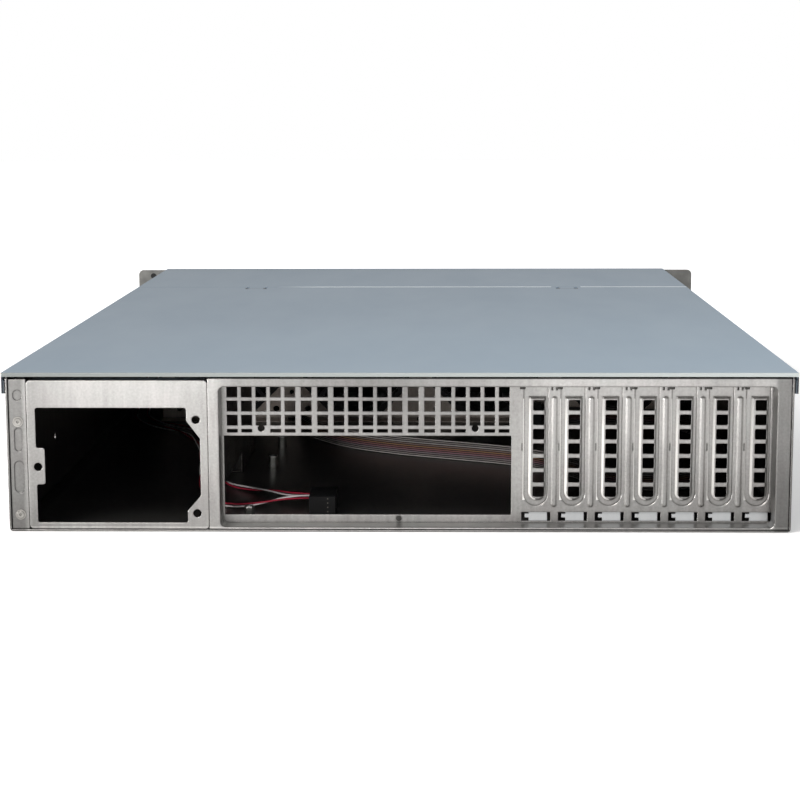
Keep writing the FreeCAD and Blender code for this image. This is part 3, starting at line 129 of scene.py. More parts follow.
RIBBON_BOTTOM, RIBBON_TOP = (corner[2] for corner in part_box("ribbon_lead"))
RIBBON_WIDTH = RIBBON_TOP - RIBBON_BOTTOM
RIBBON_CORES = 10
CORE_FILL = 0.47
RIBBON_SHADE_X = -80 * MM
TWIST_PITCH = 95 * MM
PAIR_CORE_RADIUS = 0.52 * MM
PAIR_SPREAD = 0.78 * MM
PAIR_STEP = 1.6 * MM
PLUG_LOW, PLUG_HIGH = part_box("lead_plug")
PLUG_WINDOWS = 4

# Ground: its drop below the case, half the width and half the depth of its dim patch, and the patch's fade

GROUND_DROP = 0.2 * MM
GROUND_SHADE = (0.22, 0.33)
GROUND_FADE = 0.45

# Light of the surround that plain surfaces receive

AMBIENT = 0.16

# Camera: its place, then its turn, tilt and roll in degrees, and its lens in millimetres

CAMERA_PLACE = (-0.0230, 1.3609, 0.2346)
CAMERA_TURN = 181.222
CAMERA_TILT = -8.869
CAMERA_ROLL = 0.163
CAMERA_LENS = 86.85


# ---------------------------------------------------------------------------
# Shader maths
# ---------------------------------------------------------------------------

def linear(red, green, blue):
    """Colour from 0-255 display values."""
    def channel(value):
        value = value / 255
        return value / 12.92 if value <= 0.04045 else ((value + 0.055) / 1.055) ** 2.4
    return (channel(red), channel(green), channel(blue), 1.0)


class Wire:
    """A node's output that can be used in arithmetic."""

    def __init__(self, tree, socket):
        self.tree = tree
        self.socket = socket

    def math(self, operation, *values):
        made = self.tree.nodes.new("ShaderNodeMath")
        made.operation = operation
        for place, value in enumerate(values):
            if isinstance(value, Wire):
                self.tree.links.new(value.socket, made.inputs[place])
            else:
                made.inputs[place].default_value = value
        return Wire(self.tree, made.outputs[0])

    def __add__(self, other):
        return self.math("ADD", self, other)

    def __radd__(self, other):
        return self.math("ADD", other, self)

    def __sub__(self, other):
        return self.math("SUBTRACT", self, other)

    def __rsub__(self, other):
        return self.math("SUBTRACT", other, self)

    def __mul__(self, other):
        return self.math("MULTIPLY", self, other)

    def __rmul__(self, other):
        return self.math("MULTIPLY", other, self)

    def __truediv__(self, other):
        return self.math("DIVIDE", self, other)

    def at_least(self, level):
        return self.math("MAXIMUM", self, level)

    def at_most(self, level):
        return self.math("MINIMUM", self, level)

    def clamped(self):
        return self.at_least(0.0).at_most(1.0)

    def size(self):
        return self.math("ABSOLUTE", self)

    def above(self, level):
        return self.math("GREATER_THAN", self, level)

    def below(self, level):
        return self.math("LESS_THAN", self, level)

    def within(self, low, high):
        """1 where the value lies between low and high, else 0."""
        return self.above(low) * self.below(high)

    def repeat(self, length):
        return self.math("FRACT", self / length)


class Finish:
    """One material and the nodes that make it."""

    def __init__(self, name):
        self.material = bpy.data.materials.new(name)
        self.material.use_nodes = True
        self.tree = self.material.node_tree
        self.shader = self.tree.nodes["Principled BSDF"]

    def node(self, kind, settings=None, sockets=None, output=0):
        made = self.tree.nodes.new(kind)
        for name, value in (settings or {}).items():
            if name == "stops":
                set_stops(made.color_ramp, value)
            elif name == "steps":
                set_stops(made.color_ramp, value)
                made.color_ramp.interpolation = "CONSTANT"
            else:
                setattr(made, name, value)
        for name, value in (sockets or {}).items():
            self.feed(made.inputs[name], value)
        return Wire(self.tree, made.outputs[output])

    def feed(self, target, value):
        if isinstance(value, Wire):
            self.tree.links.new(value.socket, target)
        else:
            target.default_value = value

    def surface(self, **sockets):
        for name, value in sockets.items():
            self.feed(self.shader.inputs[name.replace("_", " ")], value)
        return self.material

    def place(self):
        return self.node("ShaderNodeTexCoord", output=3)

    def axes(self):
        parts = self.tree.nodes.new("ShaderNodeSeparateXYZ")
        self.tree.links.new(self.place().socket, parts.inputs[0])
        return [Wire(self.tree, socket) for socket in parts.outputs]

    def across(self):
        """0 at the side wall that is on the left from behind, 1 at the other."""
        return ((SIDE - self.axes()[0]) / (2 * SIDE)).clamped()

    def noise(self, size, detail=3.0, stretch=(1, 1, 1)):
        """Soft random pattern whose features are about size metres."""
        mapped = self.node("ShaderNodeMapping", sockets={"Vector": self.place(), "Scale": stretch})
        return self.node("ShaderNodeTexNoise",
                         sockets={"Vector": mapped, "Scale": 1 / size, "Detail": detail})

    def ramp(self, factor, *stops):
        return self.node("ShaderNodeValToRGB", {"stops": stops}, {"Fac": factor})

    def greys(self, factor, *stops):
        """Smooth run of grey levels."""
        return self.ramp(factor, *((place, (level, level, level, 1.0)) for place, level in stops))

    def blend(self, factor, low, high):
        return self.node("ShaderNodeMix", {"data_type": "RGBA"}, {0: factor, 6: low, 7: high}, output=2)

    def tinted(self, colour, tint):
        return self.node("ShaderNodeMix", {"data_type": "RGBA", "blend_type": "MULTIPLY"},
                         {0: 1.0, 6: colour, 7: tint}, output=2)

    def bump(self, height, distance, strength=1.0, normal=None):
        sockets = {"Height": height, "Distance": distance, "Strength": strength}
        if normal is not None:
            sockets["Normal"] = normal
        return self.node("ShaderNodeBump", sockets=sockets)

    def crevice(self, reach):
        """0 in corners and along steps that are narrower than reach, 1 in the open."""
        return self.node("ShaderNodeAmbientOcclusion", {"samples": 6}, {"Distance": reach}, output=1)

    def soft_edge(self, radius):
        return self.node("ShaderNodeBevel", {"samples": 4}, {"Radius": radius})


def set_stops(ramp, stops):
    while len(ramp.elements) < len(stops):
        ramp.elements.new(0.5)
    for element, (position, colour) in zip(ramp.elements, stops):
        element.position = position
        element.color = colour


# ---------------------------------------------------------------------------
# Finishes
# ---------------------------------------------------------------------------

# No painted shade: the open end of the painted shade in corners.
NO_SHADE = (1, 1, 1, 1)
ZINC_DARK = linear(139, 138, 136)
ZINC_LIGHT = linear(172, 171, 169)

# Painted light from the left side wall, 0, to the right one, 1, as seen from behind

UPPER_PAINTED_LIGHT = ((0.025, 0.54), (0.035, 0.42), (0.10, 0.62), (0.24, 0.60), (0.265, 0.64), (0.29, 0.42),
               (0.50, 0.31), (0.60, 0.42), (0.70, 0.66), (0.95, 0.60))
LOWER_PAINTED_LIGHT = ((0.025, 0.50), (0.035, 0.40), (0.10, 0.44), (0.24, 0.46), (0.29, 0.56), (0.62, 0.54),
               (0.70, 0.44), (0.95, 0.42))
LIP_PAINTED_LIGHT = ((0.0, 0.25), (0.5, 0.42), (1.0, 0.60))


def galvanised_sheet(name, dark, light, metallic, roughness, painted_light=None):
    """Zinc coated steel: fine spangle, faint upright streaks and soft clouds of warmer and cooler grey, with
    painted shade in corners and along narrow steps, left out near the top under the lid's lip.
    """
    f = Finish(name)
    cloud = f.noise(0.045, 3.0)
    spangle = f.noise(0.0013, 2.0)
    streak = f.noise(0.0030, 3.0, (1, 1, 0.10))
    tint = f.noise(0.016, 2.0)
    shade = (0.35 * cloud + 0.30 * spangle + 0.35 * streak).clamped()
    grey = f.ramp(shade, (0.34, dark), (0.66, light))
    # Painted shade in corners and along narrow steps, left out in the band under the lid's lip.
    lip_shade = f.axes()[2].above(TOP - UNDER_LIP)
    unshaded = ((f.crevice(0.0016) - 0.45) * 2.2).clamped().at_least(lip_shade)
    corner_shade = f.blend(unshaded, (0.34, 0.34, 0.33, 1.0), NO_SHADE)
    warm = f.blend(tint, (0.975, 1.0, 0.995, 1.0), (1.03, 0.99, 1.0, 1.0))
    colour = f.tinted(f.tinted(grey, warm), corner_shade)
    if painted_light:
        colour, matt = painted_light(f, colour)
        metallic = metallic * (1 - matt)
    rough = roughness + 0.16 * (streak - 0.5) + 0.10 * (spangle - 0.5)
    fine = f.noise(0.0006, 2.0)
    normal = f.bump(fine, 0.00003, 0.25, f.soft_edge(0.0009))
    return f.surface(Base_Color=colour, Metallic=metallic, Roughness=rough, Normal=normal)


def rear_painted_light(f, colour):
    """Painted light and shade of the rear sheets: lighter and darker from side to side and darker towards the
    bottom, which leaves the plate bright, painted shade on the outer columns and the recess's side wall, a
    lighter band and a dark seam along the foot, painted light on the tongues and painted highlights on the
    left slopes of the slot covers. Returns the colour and how far the surface is from bare metal."""
    x, y, z = f.axes()
    across = f.across()
    # Painted light and shade that change from side to side, darker towards the bottom, with painted shade on
    # the outer columns.
    upper = f.greys(across, *UPPER_PAINTED_LIGHT)
    lower = f.greys(across, *LOWER_PAINTED_LIGHT)
    height = ((z - PAINTED_LIGHT_START) / PAINTED_LIGHT_RISE).clamped()
    column = ((x.size() - COLUMN_EDGE) * 400).clamped()
    level = 2.0 * (upper * height + lower * (1 - height)) * (1 - 0.46 * column)
    # A lighter band and a dark seam along the foot.
    foot = y.above(REAR - SKIN)
    foot_lighter = foot * z.within(*FOOT_LIGHTER)
    seam = foot * z.within(*FOOT_SEAM)
    level = level * (1 + 0.55 * foot_lighter) * (1 - 0.5 * seam)
    # Painted shade on the side wall of the recess.
    wall = x.within(*RECESS_WALL) * y.within(REAR - RECESS_DEPTH, REAR - RECESS_FRONT)
    level = level * (1 - 0.6 * wall)
    # Painted light on the tongues and painted highlights on the left slopes of the slot covers, weaker to the
    # right; both are made less metallic.
    slots = x.below(FIRST_SLOT + SLOT_PITCH / 2)
    in_slot = ((FIRST_SLOT - x) / SLOT_PITCH + 0.5).repeat(1.0)
    tongue = (slots * in_slot.within(*TONGUE_SPAN) * z.within(*TONGUE_HEIGHT)
              * y.below(COVER_FACE + 0.1 * MM))
    slope = (slots * in_slot.within(*SLOPE_SPAN) * z.within(*SLOPE_HEIGHT)
             * (y - COVER_FACE).within(*SLOPE_DEPTH))
    slope_highlight = slope * (1.05 - 0.65 * ((FIRST_SLOT - x) / (SLOT_STEPS * SLOT_PITCH)).clamped())
    pale = f.blend(0.65 * tongue, f.tinted(colour, level), linear(198, 202, 205))
    lit = f.blend((0.85 * slope_highlight).clamped(), pale, linear(250, 249, 246))
    return lit, 0.6 * tongue + 0.8 * slope


def tray_painted_light(f, colour):
    """The tray's rear flange gets the painted light of the rear sheets; its inside is darkened as painted
    shade.
    """
    x, y, z = f.axes()
    # Painted shade inside the tray.
    inside = x.size().below(SIDE_BEND) * y.below(REAR - 0.6 * MM) * z.above(SKIN)
    colour, matt = rear_painted_light(f, colour)
    return f.tinted(colour, 1 - 0.6 * inside), matt


def cover_sheet():
    """Smooth cool grey sheet of the lid and the fixed top, with a painted reflection that grows lighter to
    the rear and to the right, a painted highlight on the lip and along the fold at the seam, painted shade in
    the notches and creases beside the hooks and on the lowered ledge, and painted shade on the hemmed ends of
    the lid's sides."""
    f = Finish("cover_sheet")
    x, y, z = f.axes()
    drift = f.noise(0.22, 2.0)
    smear = f.noise(0.035, 3.0, (1, 0.3, 1))
    # Painted reflection: the sheet grows lighter towards the rear and to the right, most at the rear, with a
    # random drift.
    along = ((y + 0.33) / 0.66).clamped()
    across = f.across()
    level = (0.45 * along + 0.35 * across + 0.20 * drift).clamped()
    paint = f.ramp(level, (0.05, linear(98, 112, 124)), (0.5, linear(110, 125, 138)),
                   (0.95, linear(124, 141, 155)))
    paint = f.tinted(paint, 1 + (0.27 * across - 0.13) * along)
    # The lip gets a painted highlight that grows lighter to the right.
    rear_face = y.above(LID_HIGH[1] - 0.3 * MM)
    lip = rear_face * z.above(LID_HIGH[2] - LID_LIP)
    bright = 2.0 * f.greys(across, *LIP_PAINTED_LIGHT)
    with_painted_light = f.blend(lip, paint, f.tinted(linear(166, 172, 171), bright))
    back = y - LID_LOW[1]
    hook = (x.size() - HOOK_X).size()
    # Painted highlight along the fold at the seam, left out beside the hooks and past its left end.
    fold_highlight = back.within(*FOLD_HIGHLIGHT) * ((FOLD_HIGHLIGHT_END - x) * 30).clamped() * hook.above(HOOK_CLEAR)
    # Painted shade in the notches and creases beside the hooks and on the lowered ledge.
    notch = hook.within(*NOTCH_BESIDE) * back.within(*NOTCH)
    crease = hook.below(CREASE_BESIDE) * back.within(*CREASE)
    ledge = z.below(LID_HIGH[2] - LEDGE_DROP) * back.within(*LEDGE) * x.size().below(LEDGE_SIDE)
    pressed_shade = (0.75 * notch + 0.25 * crease + ledge).clamped()
    with_painted_light = f.blend(pressed_shade, f.blend(fold_highlight, with_painted_light, linear(208, 216, 219)), linear(34, 38, 42))
    # Painted shade on the hemmed ends of the lid's sides, less dark along a line inside.
    hem = rear_face * x.size().above(LID_HIGH[0] - HEM_WIDTH) * z.below(LID_HIGH[2] - LID_LIP)
    core = (LID_HIGH[0] - x.size()).within(*HEM_CORE)
    colour = f.blend(hem * (1 - 0.55 * core), with_painted_light, linear(24, 25, 27))
    roughness = 0.46 + 0.10 * smear
    grain = f.noise(0.0008, 2.0)
    normal = f.bump(grain, 0.00003, 0.25, f.soft_edge(0.0005))
    return f.surface(Base_Color=colour, Metallic=0.30, Roughness=roughness, Normal=normal)


def ear_sheet():
    """Plain steel of the rack ears, slightly stained."""
    f = Finish("ear_sheet")
    speck = f.noise(0.0012, 2.0)
    wear = f.noise(0.012, 4.0)
    colour = f.ramp(wear, (0.3, linear(96, 96, 94)), (0.7, linear(126, 126, 123)))
    normal = f.bump(speck, 0.00005, 0.4, f.soft_edge(0.0004))
    return f.surface(Base_Color=colour, Metallic=0.3, Roughness=0.5, Normal=normal)


def textured(name, dark, light, roughness, grain_size, grain_height, **more):
    """Moulded or painted surface with a fine even texture and faint colour drift."""
    f = Finish(name)
    drift = f.noise(0.02, 3.0)
    grain = f.noise(grain_size, 2.0)
    colour = f.blend(drift, dark, light)
    normal = f.bump(grain, grain_height, 0.5, f.soft_edge(0.0003))
    return f.surface(Base_Color=colour, Roughness=roughness + 0.08 * grain, Normal=normal, **more)


def bright_fastener(name, dark, light, roughness):
    """Plated steel with painted shade in its corners; the plug in the ear's flange is darker."""
    f = Finish(name)
    tarnish = f.noise(0.004, 2.0)
    plated = f.ramp(tarnish, (0.3, dark), (0.7, light))
    # Painted shade in the corners.
    corner_shade = f.blend(((f.crevice(0.0012) - 0.4) * 2.0).clamped(), (0.2, 0.2, 0.2, 1.0), NO_SHADE)
    flange_plug = f.axes()[1].below(FLANGE_PLUG_Y)
    colour = f.blend(flange_plug, f.tinted(plated, corner_shade), linear(44, 44, 44))
    normal = f.bump(tarnish, 0.00001, 0.2, f.soft_edge(0.0002))
    return f.surface(Base_Color=colour, Metallic=0.9, Roughness=roughness + 0.10 * tarnish, Normal=normal)


def standoff_plating():
    """Plated hexagon posts: painted highlight on the top, duller sides."""
    f = Finish("standoff_plating")
    drift = f.noise(0.003, 2.0)
    sides = f.blend(drift, linear(150, 150, 146), linear(196, 196, 190))
    # Painted highlight on the top.
    colour = f.blend(f.axes()[2].above(POST_TOP), sides, linear(226, 225, 222))
    return f.surface(Base_Color=colour, Metallic=0.95, Roughness=0.14 + 0.1 * drift,
                     Normal=f.soft_edge(0.0003))


def circuit_board():
    """Green solder mask with faint copper tracks below it."""
    f = Finish("circuit_board")
    track = f.node("ShaderNodeTexBrick", {"offset": 0.5},
                   {"Vector": f.place(), "Scale": 90.0, "Mortar Size": 0.018, "Color1": (0, 0, 0, 1),
                    "Color2": (0, 0, 0, 1), "Mortar": (1, 1, 1, 1)}, output=1)
    drift = f.noise(0.01, 3.0)
    base = f.blend(drift, linear(8, 26, 20), linear(12, 36, 27))
    colour = f.blend(track, base, linear(24, 60, 44))
    return f.surface(Base_Color=colour, Roughness=0.32 + 0.1 * drift,
                     Normal=f.bump(track, 0.00006, 0.5))


def ribbon_finish():
    """Each core of the ribbon has its own colour, by its height on the standing ribbon, with painted shade
    in the grooves between cores and on the part behind the slots."""
    f = Finish("ribbon_jacket")
    x, z = f.axes()[::2]
    height = ((z - RIBBON_BOTTOM) / RIBBON_WIDTH).clamped()
    grey = linear(170, 163, 160)
    pale = linear(206, 200, 197)
    groove_shade = linear(24, 20, 20)
    # Painted shade in the grooves between cores.
    groove = ((height * RIBBON_CORES).repeat(1.0) - 0.5).size() * 2
    stripes = f.node("ShaderNodeValToRGB", {"steps": [
        (0.0, pale), (0.1, grey), (0.2, linear(168, 156, 160)), (0.3, linear(180, 140, 150)),
        (0.4, linear(176, 128, 126)), (0.5, linear(184, 146, 118)), (0.6, linear(164, 144, 136)),
        (0.7, pale), (0.8, grey), (0.9, pale)]}, {"Fac": height})
    # Painted shade on the part of the ribbon behind the slots.
    lit = 1 - 0.88 * ((RIBBON_SHADE_X - x) * 90).clamped()
    colour = f.tinted(f.blend(((groove - 0.30) * 2.4).clamped(), stripes, groove_shade), lit)
    soil = f.noise(0.01, 3.0)
    return f.surface(Base_Color=colour, Roughness=0.40 + 0.12 * soil)


def core_finish(name, dark, light):
    """Coloured jacket of one core of a lead."""
    f = Finish(name)
    soil = f.noise(0.006, 3.0)
    return f.surface(Base_Color=f.blend(soil, dark, light), Roughness=0.38 + 0.1 * soil)


def plug_plastic():
    """Black plug housing with a column of pale contact windows on the side that faces the rear."""
    f = Finish("plug_plastic")
    x, y, z = f.axes()
    column = PLUG_LOW[0] + 0.28 * (PLUG_HIGH[0] - PLUG_LOW[0])
    pitch = (PLUG_HIGH[2] - PLUG_LOW[2]) / PLUG_WINDOWS
    window = (x.within(column - 0.3 * MM, column + 0.3 * MM) * y.above(PLUG_HIGH[1] - 0.2 * MM)
              * (z - PLUG_LOW[2]).repeat(pitch).within(0.35, 0.65))
    drift = f.noise(0.01, 2.0)
    black = f.blend(drift, linear(6, 6, 7), linear(10, 10, 11))
    return f.surface(Base_Color=f.blend(window, black, linear(84, 82, 78)), Roughness=0.60 + 0.1 * drift,
                     Specular_IOR_Level=0.25)


FINISHES = {
    "galvanised_sheet": galvanised_sheet(
        "panel_zinc", ZINC_DARK, ZINC_LIGHT, 0.85, 0.33, rear_painted_light),
    "tray_zinc": galvanised_sheet(
        "tray_zinc", ZINC_DARK, ZINC_LIGHT, 0.92, 0.33, tray_painted_light),
    # A darker copy of the zinc for the parts inside the case: painted shade.
    "shaded_inner_zinc": galvanised_sheet(
        "shaded_inner_zinc", linear(74, 72, 70), linear(96, 94, 91), 0.97, 0.30),
    # A lighter, less metallic copy of the zinc for the fan wall: painted light.
    "lit_fan_wall_zinc": galvanised_sheet(
        "lit_fan_wall_zinc", linear(166, 156, 148), linear(196, 186, 178), 0.25, 0.45),
    "cover_sheet": cover_sheet(),
    "ear_sheet": ear_sheet(),
    "front_paint": textured(
        "front_paint", linear(22, 22, 24), linear(30, 30, 32), 0.45, 0.0006, 0.00008),
    "bright_fastener": bright_fastener(
        "bright_fastener", linear(134, 132, 128), linear(160, 158, 154), 0.28),
    # A darker copy of the plated fastener finish for the screws and the panel stud: painted shade.
    "shaded_fastener": bright_fastener(
        "shaded_fastener", linear(66, 65, 63), linear(84, 83, 81), 0.42),
    "standoff_plating": standoff_plating(),
    "black_plastic": textured(
        "black_plastic", linear(16, 16, 17), linear(22, 22, 23), 0.45, 0.0008, 0.00004),
    "carrier_plastic": textured(
        "carrier_plastic", linear(26, 26, 28), linear(34, 34, 36), 0.42, 0.0007, 0.00006),
    "lever_plastic": textured(
        "lever_plastic", linear(60, 60, 62), linear(72, 72, 74), 0.38, 0.0007, 0.00005),
    "circuit_board": circuit_board(),
    "connector_plastic": textured(
        "connector_plastic", linear(16, 17, 16), linear(26, 27, 26), 0.45, 0.0006, 0.00003),
    "plug_plastic": plug_plastic(),
    "button_plastic": textured(
        "button_plastic", linear(48, 48, 50), linear(58, 58, 60), 0.35, 0.0006, 0.00003),
    "ribbon_jacket": ribbon_finish(),
    "red_core": core_finish("red_core", linear(138, 24, 46), linear(172, 44, 66)),
    "white_core": core_finish("white_core", linear(206, 200, 200), linear(232, 226, 226)),
}
OWN_FINISH = {
    "fan_wall": "lit_fan_wall_zinc", "chassis_tray": "tray_zinc", "psu_divider": "shaded_inner_zinc",
    "cage_shell": "shaded_inner_zinc", "bay_divider_1": "shaded_inner_zinc", "bay_divider_2": "shaded_inner_zinc",
    "bay_divider_3": "shaded_inner_zinc", "lead_plug": "plug_plastic", "panel_stud": "shaded_fastener",
    "screws": "shaded_fastener", "board_standoffs": "standoff_plating",
}


def dress_frame():
    """Gives every CAD node the finish of its material slot, or its own."""
    slots = {part["node"]: part["material_slot"] for part in frame["record"]["subparts"]}
    for name, piece in frame["nodes"].items():
        finish = FINISHES.get(OWN_FINISH.get(name, slots[name]), FINISHES["red_core"])
        for place in piece.material_slots:
            place.material = finish
        if not piece.material_slots:
            piece.data.materials.append(finish)


# ---------------------------------------------------------------------------
# Pieces
# ---------------------------------------------------------------------------

class Growth:
    """A Geometry Nodes tree with named size inputs, baked into one mesh."""

    def __init__(self, name, **sizes):
        self.tree = bpy.data.node_groups.new(name, "GeometryNodeTree")
        faces = self.tree.interface
        faces.new_socket("Geometry", in_out="INPUT", socket_type="NodeSocketGeometry")
        for size in sizes:
            faces.new_socket(size, in_out="INPUT", socket_type="NodeSocketFloat")
        faces.new_socket("Geometry", in_out="OUTPUT", socket_type="NodeSocketGeometry")
        self.sizes = sizes
        self.start = self.tree.nodes.new("NodeGroupInput")
        self.end = self.tree.nodes.new("NodeGroupOutput")

    def given(self, name="Geometry"):
        return self.start.outputs[name]

    def node(self, kind, settings=None, sockets=None, output=0):
        made = self.tree.nodes.new(kind)
        for name, value in (settings or {}).items():
            setattr(made, name, value)
        for name, value in (sockets or {}).items():
            if isinstance(value, bpy.types.NodeSocket):
                self.tree.links.new(value, made.inputs[name])
            else:
                made.inputs[name].default_value = value
        return made.outputs[output]

    def maths(self, operation, first, second):
        return self.node("ShaderNodeMath", {"operation": operation}, {0: first, 1: second})

    def painted(self, geometry, material):
        return self.node("GeometryNodeSetMaterial", sockets={"Geometry": geometry, "Material": material})

    def joined(self, *geometries):
        join = self.tree.nodes.new("GeometryNodeJoinGeometry")
        for geometry in geometries:
            self.tree.links.new(geometry, join.inputs[0])
        return join.outputs[0]

    def bake(self, name, carrier, result):
        """Runs the tree on carrier and returns its result as a plain mesh object."""
        self.tree.links.new(result, self.end.inputs[0])
        modifier = carrier.modifiers.new(name, "NODES")
        modifier.node_group = self.tree
        for item in self.tree.interface.items_tree:
            if item.in_out == "INPUT" and item.name in self.sizes:
                modifier[item.identifier] = self.sizes[item.name]
        graph = bpy.context.evaluated_depsgraph_get()
        mesh = bpy.data.meshes.new_from_object(carrier.evaluated_get(graph), depsgraph=graph)
        mesh.name = name
        piece = bpy.data.objects.new(name, mesh)
        bpy.context.collection.objects.link(piece)
        bpy.data.objects.remove(carrier)
        return piece


def spline_through(name, points):
    """Smooth curve with the route's points, in metres, as its control points."""
    data = bpy.data.curves.new(name, "CURVE")
    data.dimensions = "3D"
    data.resolution_u = 10
    spline = data.splines.new("NURBS")
    spline.points.add(len(points) - 1)
    for control, point in zip(spline.points, points):
        control.co = (*point, 1.0)
    spline.order_u = 3
    spline.use_endpoint_u = True
    made = bpy.data.objects.new(name, data)
    bpy.context.collection.objects.link(made)
    return made


def path_of(curve):
    """Points along a bare curve, in order."""
    graph = bpy.context.evaluated_depsgraph_get()
    mesh = bpy.data.meshes.new_from_object(curve.evaluated_get(graph), depsgraph=graph)
    points = [vertex.co.copy() for vertex in mesh.vertices]
    bpy.data.meshes.remove(mesh)
    return points


def route(points, height=None):
    """Route points given as (x, depth behind the rear face, z) in millimetres."""
    return [(x * MM, REAR - depth * MM, height if height is not None else rest[0] * MM)
            for x, depth, *rest in points]


RIBBON_ROUTE = (
    (84.6, 476.8), (82.6, 446.0), (81.8, 408.0), (81.8, 364.0), (79.0, 326.0), (65.0, 286.0), (41.0, 250.0),
    (5.0, 224.0), (-38.0, 204.0), (-74.0, 186.0), (-100.0, 158.0), (-117.0, 126.0), (-140.0, 106.0),
    (-168.0, 108.0), (-190.0, 130.0), (-203.0, 162.0), (-206.5, 206.0), (-206.5, 252.0), (-203.0, 296.0),
    (-188.0, 328.0), (-158.0, 345.0), (-124.0, 347.0), (-96.0, 347.0),
)


def ribbon_lead():
    """Flat ribbon on its edge: equal round cores, joined side by side."""
    points = route(RIBBON_ROUTE, RIBBON_BOTTOM)
    carrier = spline_through("ribbon_path", points)
    middle = Vector((0, 0, RIBBON_WIDTH / 2))
    path = [point + middle for point in path_of(carrier)]
    pitch = RIBBON_WIDTH / RIBBON_CORES
    growth = Growth("ribbon_cores", Pitch=pitch, Radius=pitch * CORE_FILL)
    profile = growth.node("GeometryNodeCurvePrimitiveCircle",
                          sockets={"Resolution": 8, "Radius": growth.given("Radius")})
    core = growth.node("GeometryNodeCurveToMesh", sockets={"Curve": growth.given(), "Profile Curve": profile})
    half_pitch = growth.maths("MULTIPLY", growth.given("Pitch"), 0.5)
    first = growth.node("ShaderNodeCombineXYZ", sockets={"Z": half_pitch})
    step = growth.node("ShaderNodeCombineXYZ", sockets={"Z": growth.given("Pitch")})
    rows = growth.node("GeometryNodeMeshLine", {"mode": "OFFSET"},
                       {"Count": RIBBON_CORES, "Start Location": first, "Offset": step})
    cores = growth.node("GeometryNodeInstanceOnPoints", sockets={"Points": rows, "Instance": core})
    solid = growth.node("GeometryNodeRealizeInstances", sockets={"Geometry": cores})
    smooth = growth.node("GeometryNodeSetShadeSmooth", sockets={"Geometry": solid})
    piece = growth.bake("ribbon_cores", carrier, growth.painted(smooth, FINISHES["ribbon_jacket"]))
    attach(piece, CASE)
    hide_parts("ribbon_lead")
    return piece, path


POWER_LEAD_ROUTE = (
    (178.0, 602.0, 65.5), (186.0, 572.0, 63.6), (191.0, 542.0, 63.2), (195.0, 512.0, 63.2),
    (198.0, 482.0, 61.4), (199.0, 471.0, 36.0), (199.0, 461.0, 14.0), (199.0, 438.0, 3.6),
    (198.0, 402.0, 2.8), (192.0, 364.0, 2.8), (173.0, 337.0, 2.8), (151.0, 317.0, 2.8),
    (138.0, 289.0, 2.8), (130.0, 255.0, 2.8), (124.5, 218.0, 2.8), (120.0, 180.0, 2.8),
    (115.0, 146.0, 2.8), (106.0, 116.0, 2.8), (91.0, 100.0, 3.6), (76.0, 83.0, 6.0),
)
RESET_LEAD_ROUTE = (
    (192.0, 602.0, 65.5), (198.0, 572.0, 63.6), (202.0, 542.0, 63.2), (205.0, 512.0, 63.2),
    (206.0, 482.0, 61.4), (207.0, 471.0, 36.0), (207.0, 461.0, 14.0), (207.0, 438.0, 3.6),
    (206.0, 400.0, 2.8), (200.0, 357.0, 2.8), (181.0, 328.0, 2.8), (159.0, 307.0, 2.8),
    (147.0, 277.0, 2.8), (139.0, 244.0, 2.8), (133.5, 206.0, 2.8), (129.0, 168.0, 2.8),
    (125.0, 130.0, 2.8), (119.0, 94.0, 2.8), (110.0, 66.0, 2.8), (97.0, 53.0, 3.0), (82.0, 52.0, 4.6),
)
LEAD_STRAIGHT = 12.0
BOARD_REAR_DEPTH = (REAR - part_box("control_board")[1][1]) / MM
BOARD_LEAD_HEIGHT = sum(corner[2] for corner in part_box("power_button")) / 2 / MM - 4.0
PLUG_FACE_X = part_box("lead_plug")[1][0] / MM


def twisted_lead(name, node, middle, board_x, entry_depth, entry_z):
    """Two thin cores twisted round each other, from the control board to the plug."""
    leave = ((board_x, BOARD_REAR_DEPTH, BOARD_LEAD_HEIGHT),
             (board_x, BOARD_REAR_DEPTH - LEAD_STRAIGHT, BOARD_LEAD_HEIGHT))
    enter = ((PLUG_FACE_X + LEAD_STRAIGHT, entry_depth, entry_z), (PLUG_FACE_X, entry_depth, entry_z))
    points = route(leave + middle + enter)
    carrier = spline_through(name + "_path", points)
    path = path_of(carrier)
    growth = Growth(name, Radius=PAIR_CORE_RADIUS, Spread=PAIR_SPREAD, Turns=2 * math.pi / TWIST_PITCH,
                    Step=PAIR_STEP)
    even = growth.node("GeometryNodeResampleCurve", {"mode": "LENGTH"},
                       {"Curve": growth.given(), "Length": growth.given("Step")})
    along = growth.node("GeometryNodeSplineParameter", output=1)
    tilt = growth.maths("MULTIPLY", along, growth.given("Turns"))
    turned = growth.node("GeometryNodeSetCurveTilt", sockets={"Curve": even, "Tilt": tilt})
    strands = []
    for side, finish in ((1.0, "red_core"), (-1.0, "white_core")):
        ring = growth.node("GeometryNodeCurvePrimitiveCircle",
                           sockets={"Resolution": 7, "Radius": growth.given("Radius")})
        offset = growth.maths("MULTIPLY", growth.given("Spread"), side)
        shift = growth.node("ShaderNodeCombineXYZ", sockets={"X": offset})
        placed = growth.node("GeometryNodeTransform", sockets={"Geometry": ring, "Translation": shift})
        strand = growth.node("GeometryNodeCurveToMesh",
                             sockets={"Curve": turned, "Profile Curve": placed, "Fill Caps": True})
        strands.append(growth.painted(strand, FINISHES[finish]))
    both = growth.node("GeometryNodeSetShadeSmooth", sockets={"Geometry": growth.joined(*strands)})
    piece = growth.bake(name, carrier, both)
    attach(piece, CASE)
    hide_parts(node)
    return piece, path


def length_of(path):
    """Length of the line through the points of path."""
    return sum((b - a).length for a, b in zip(path, path[1:]))


# ---------------------------------------------------------------------------
# Stage, light and camera
# ---------------------------------------------------------------------------

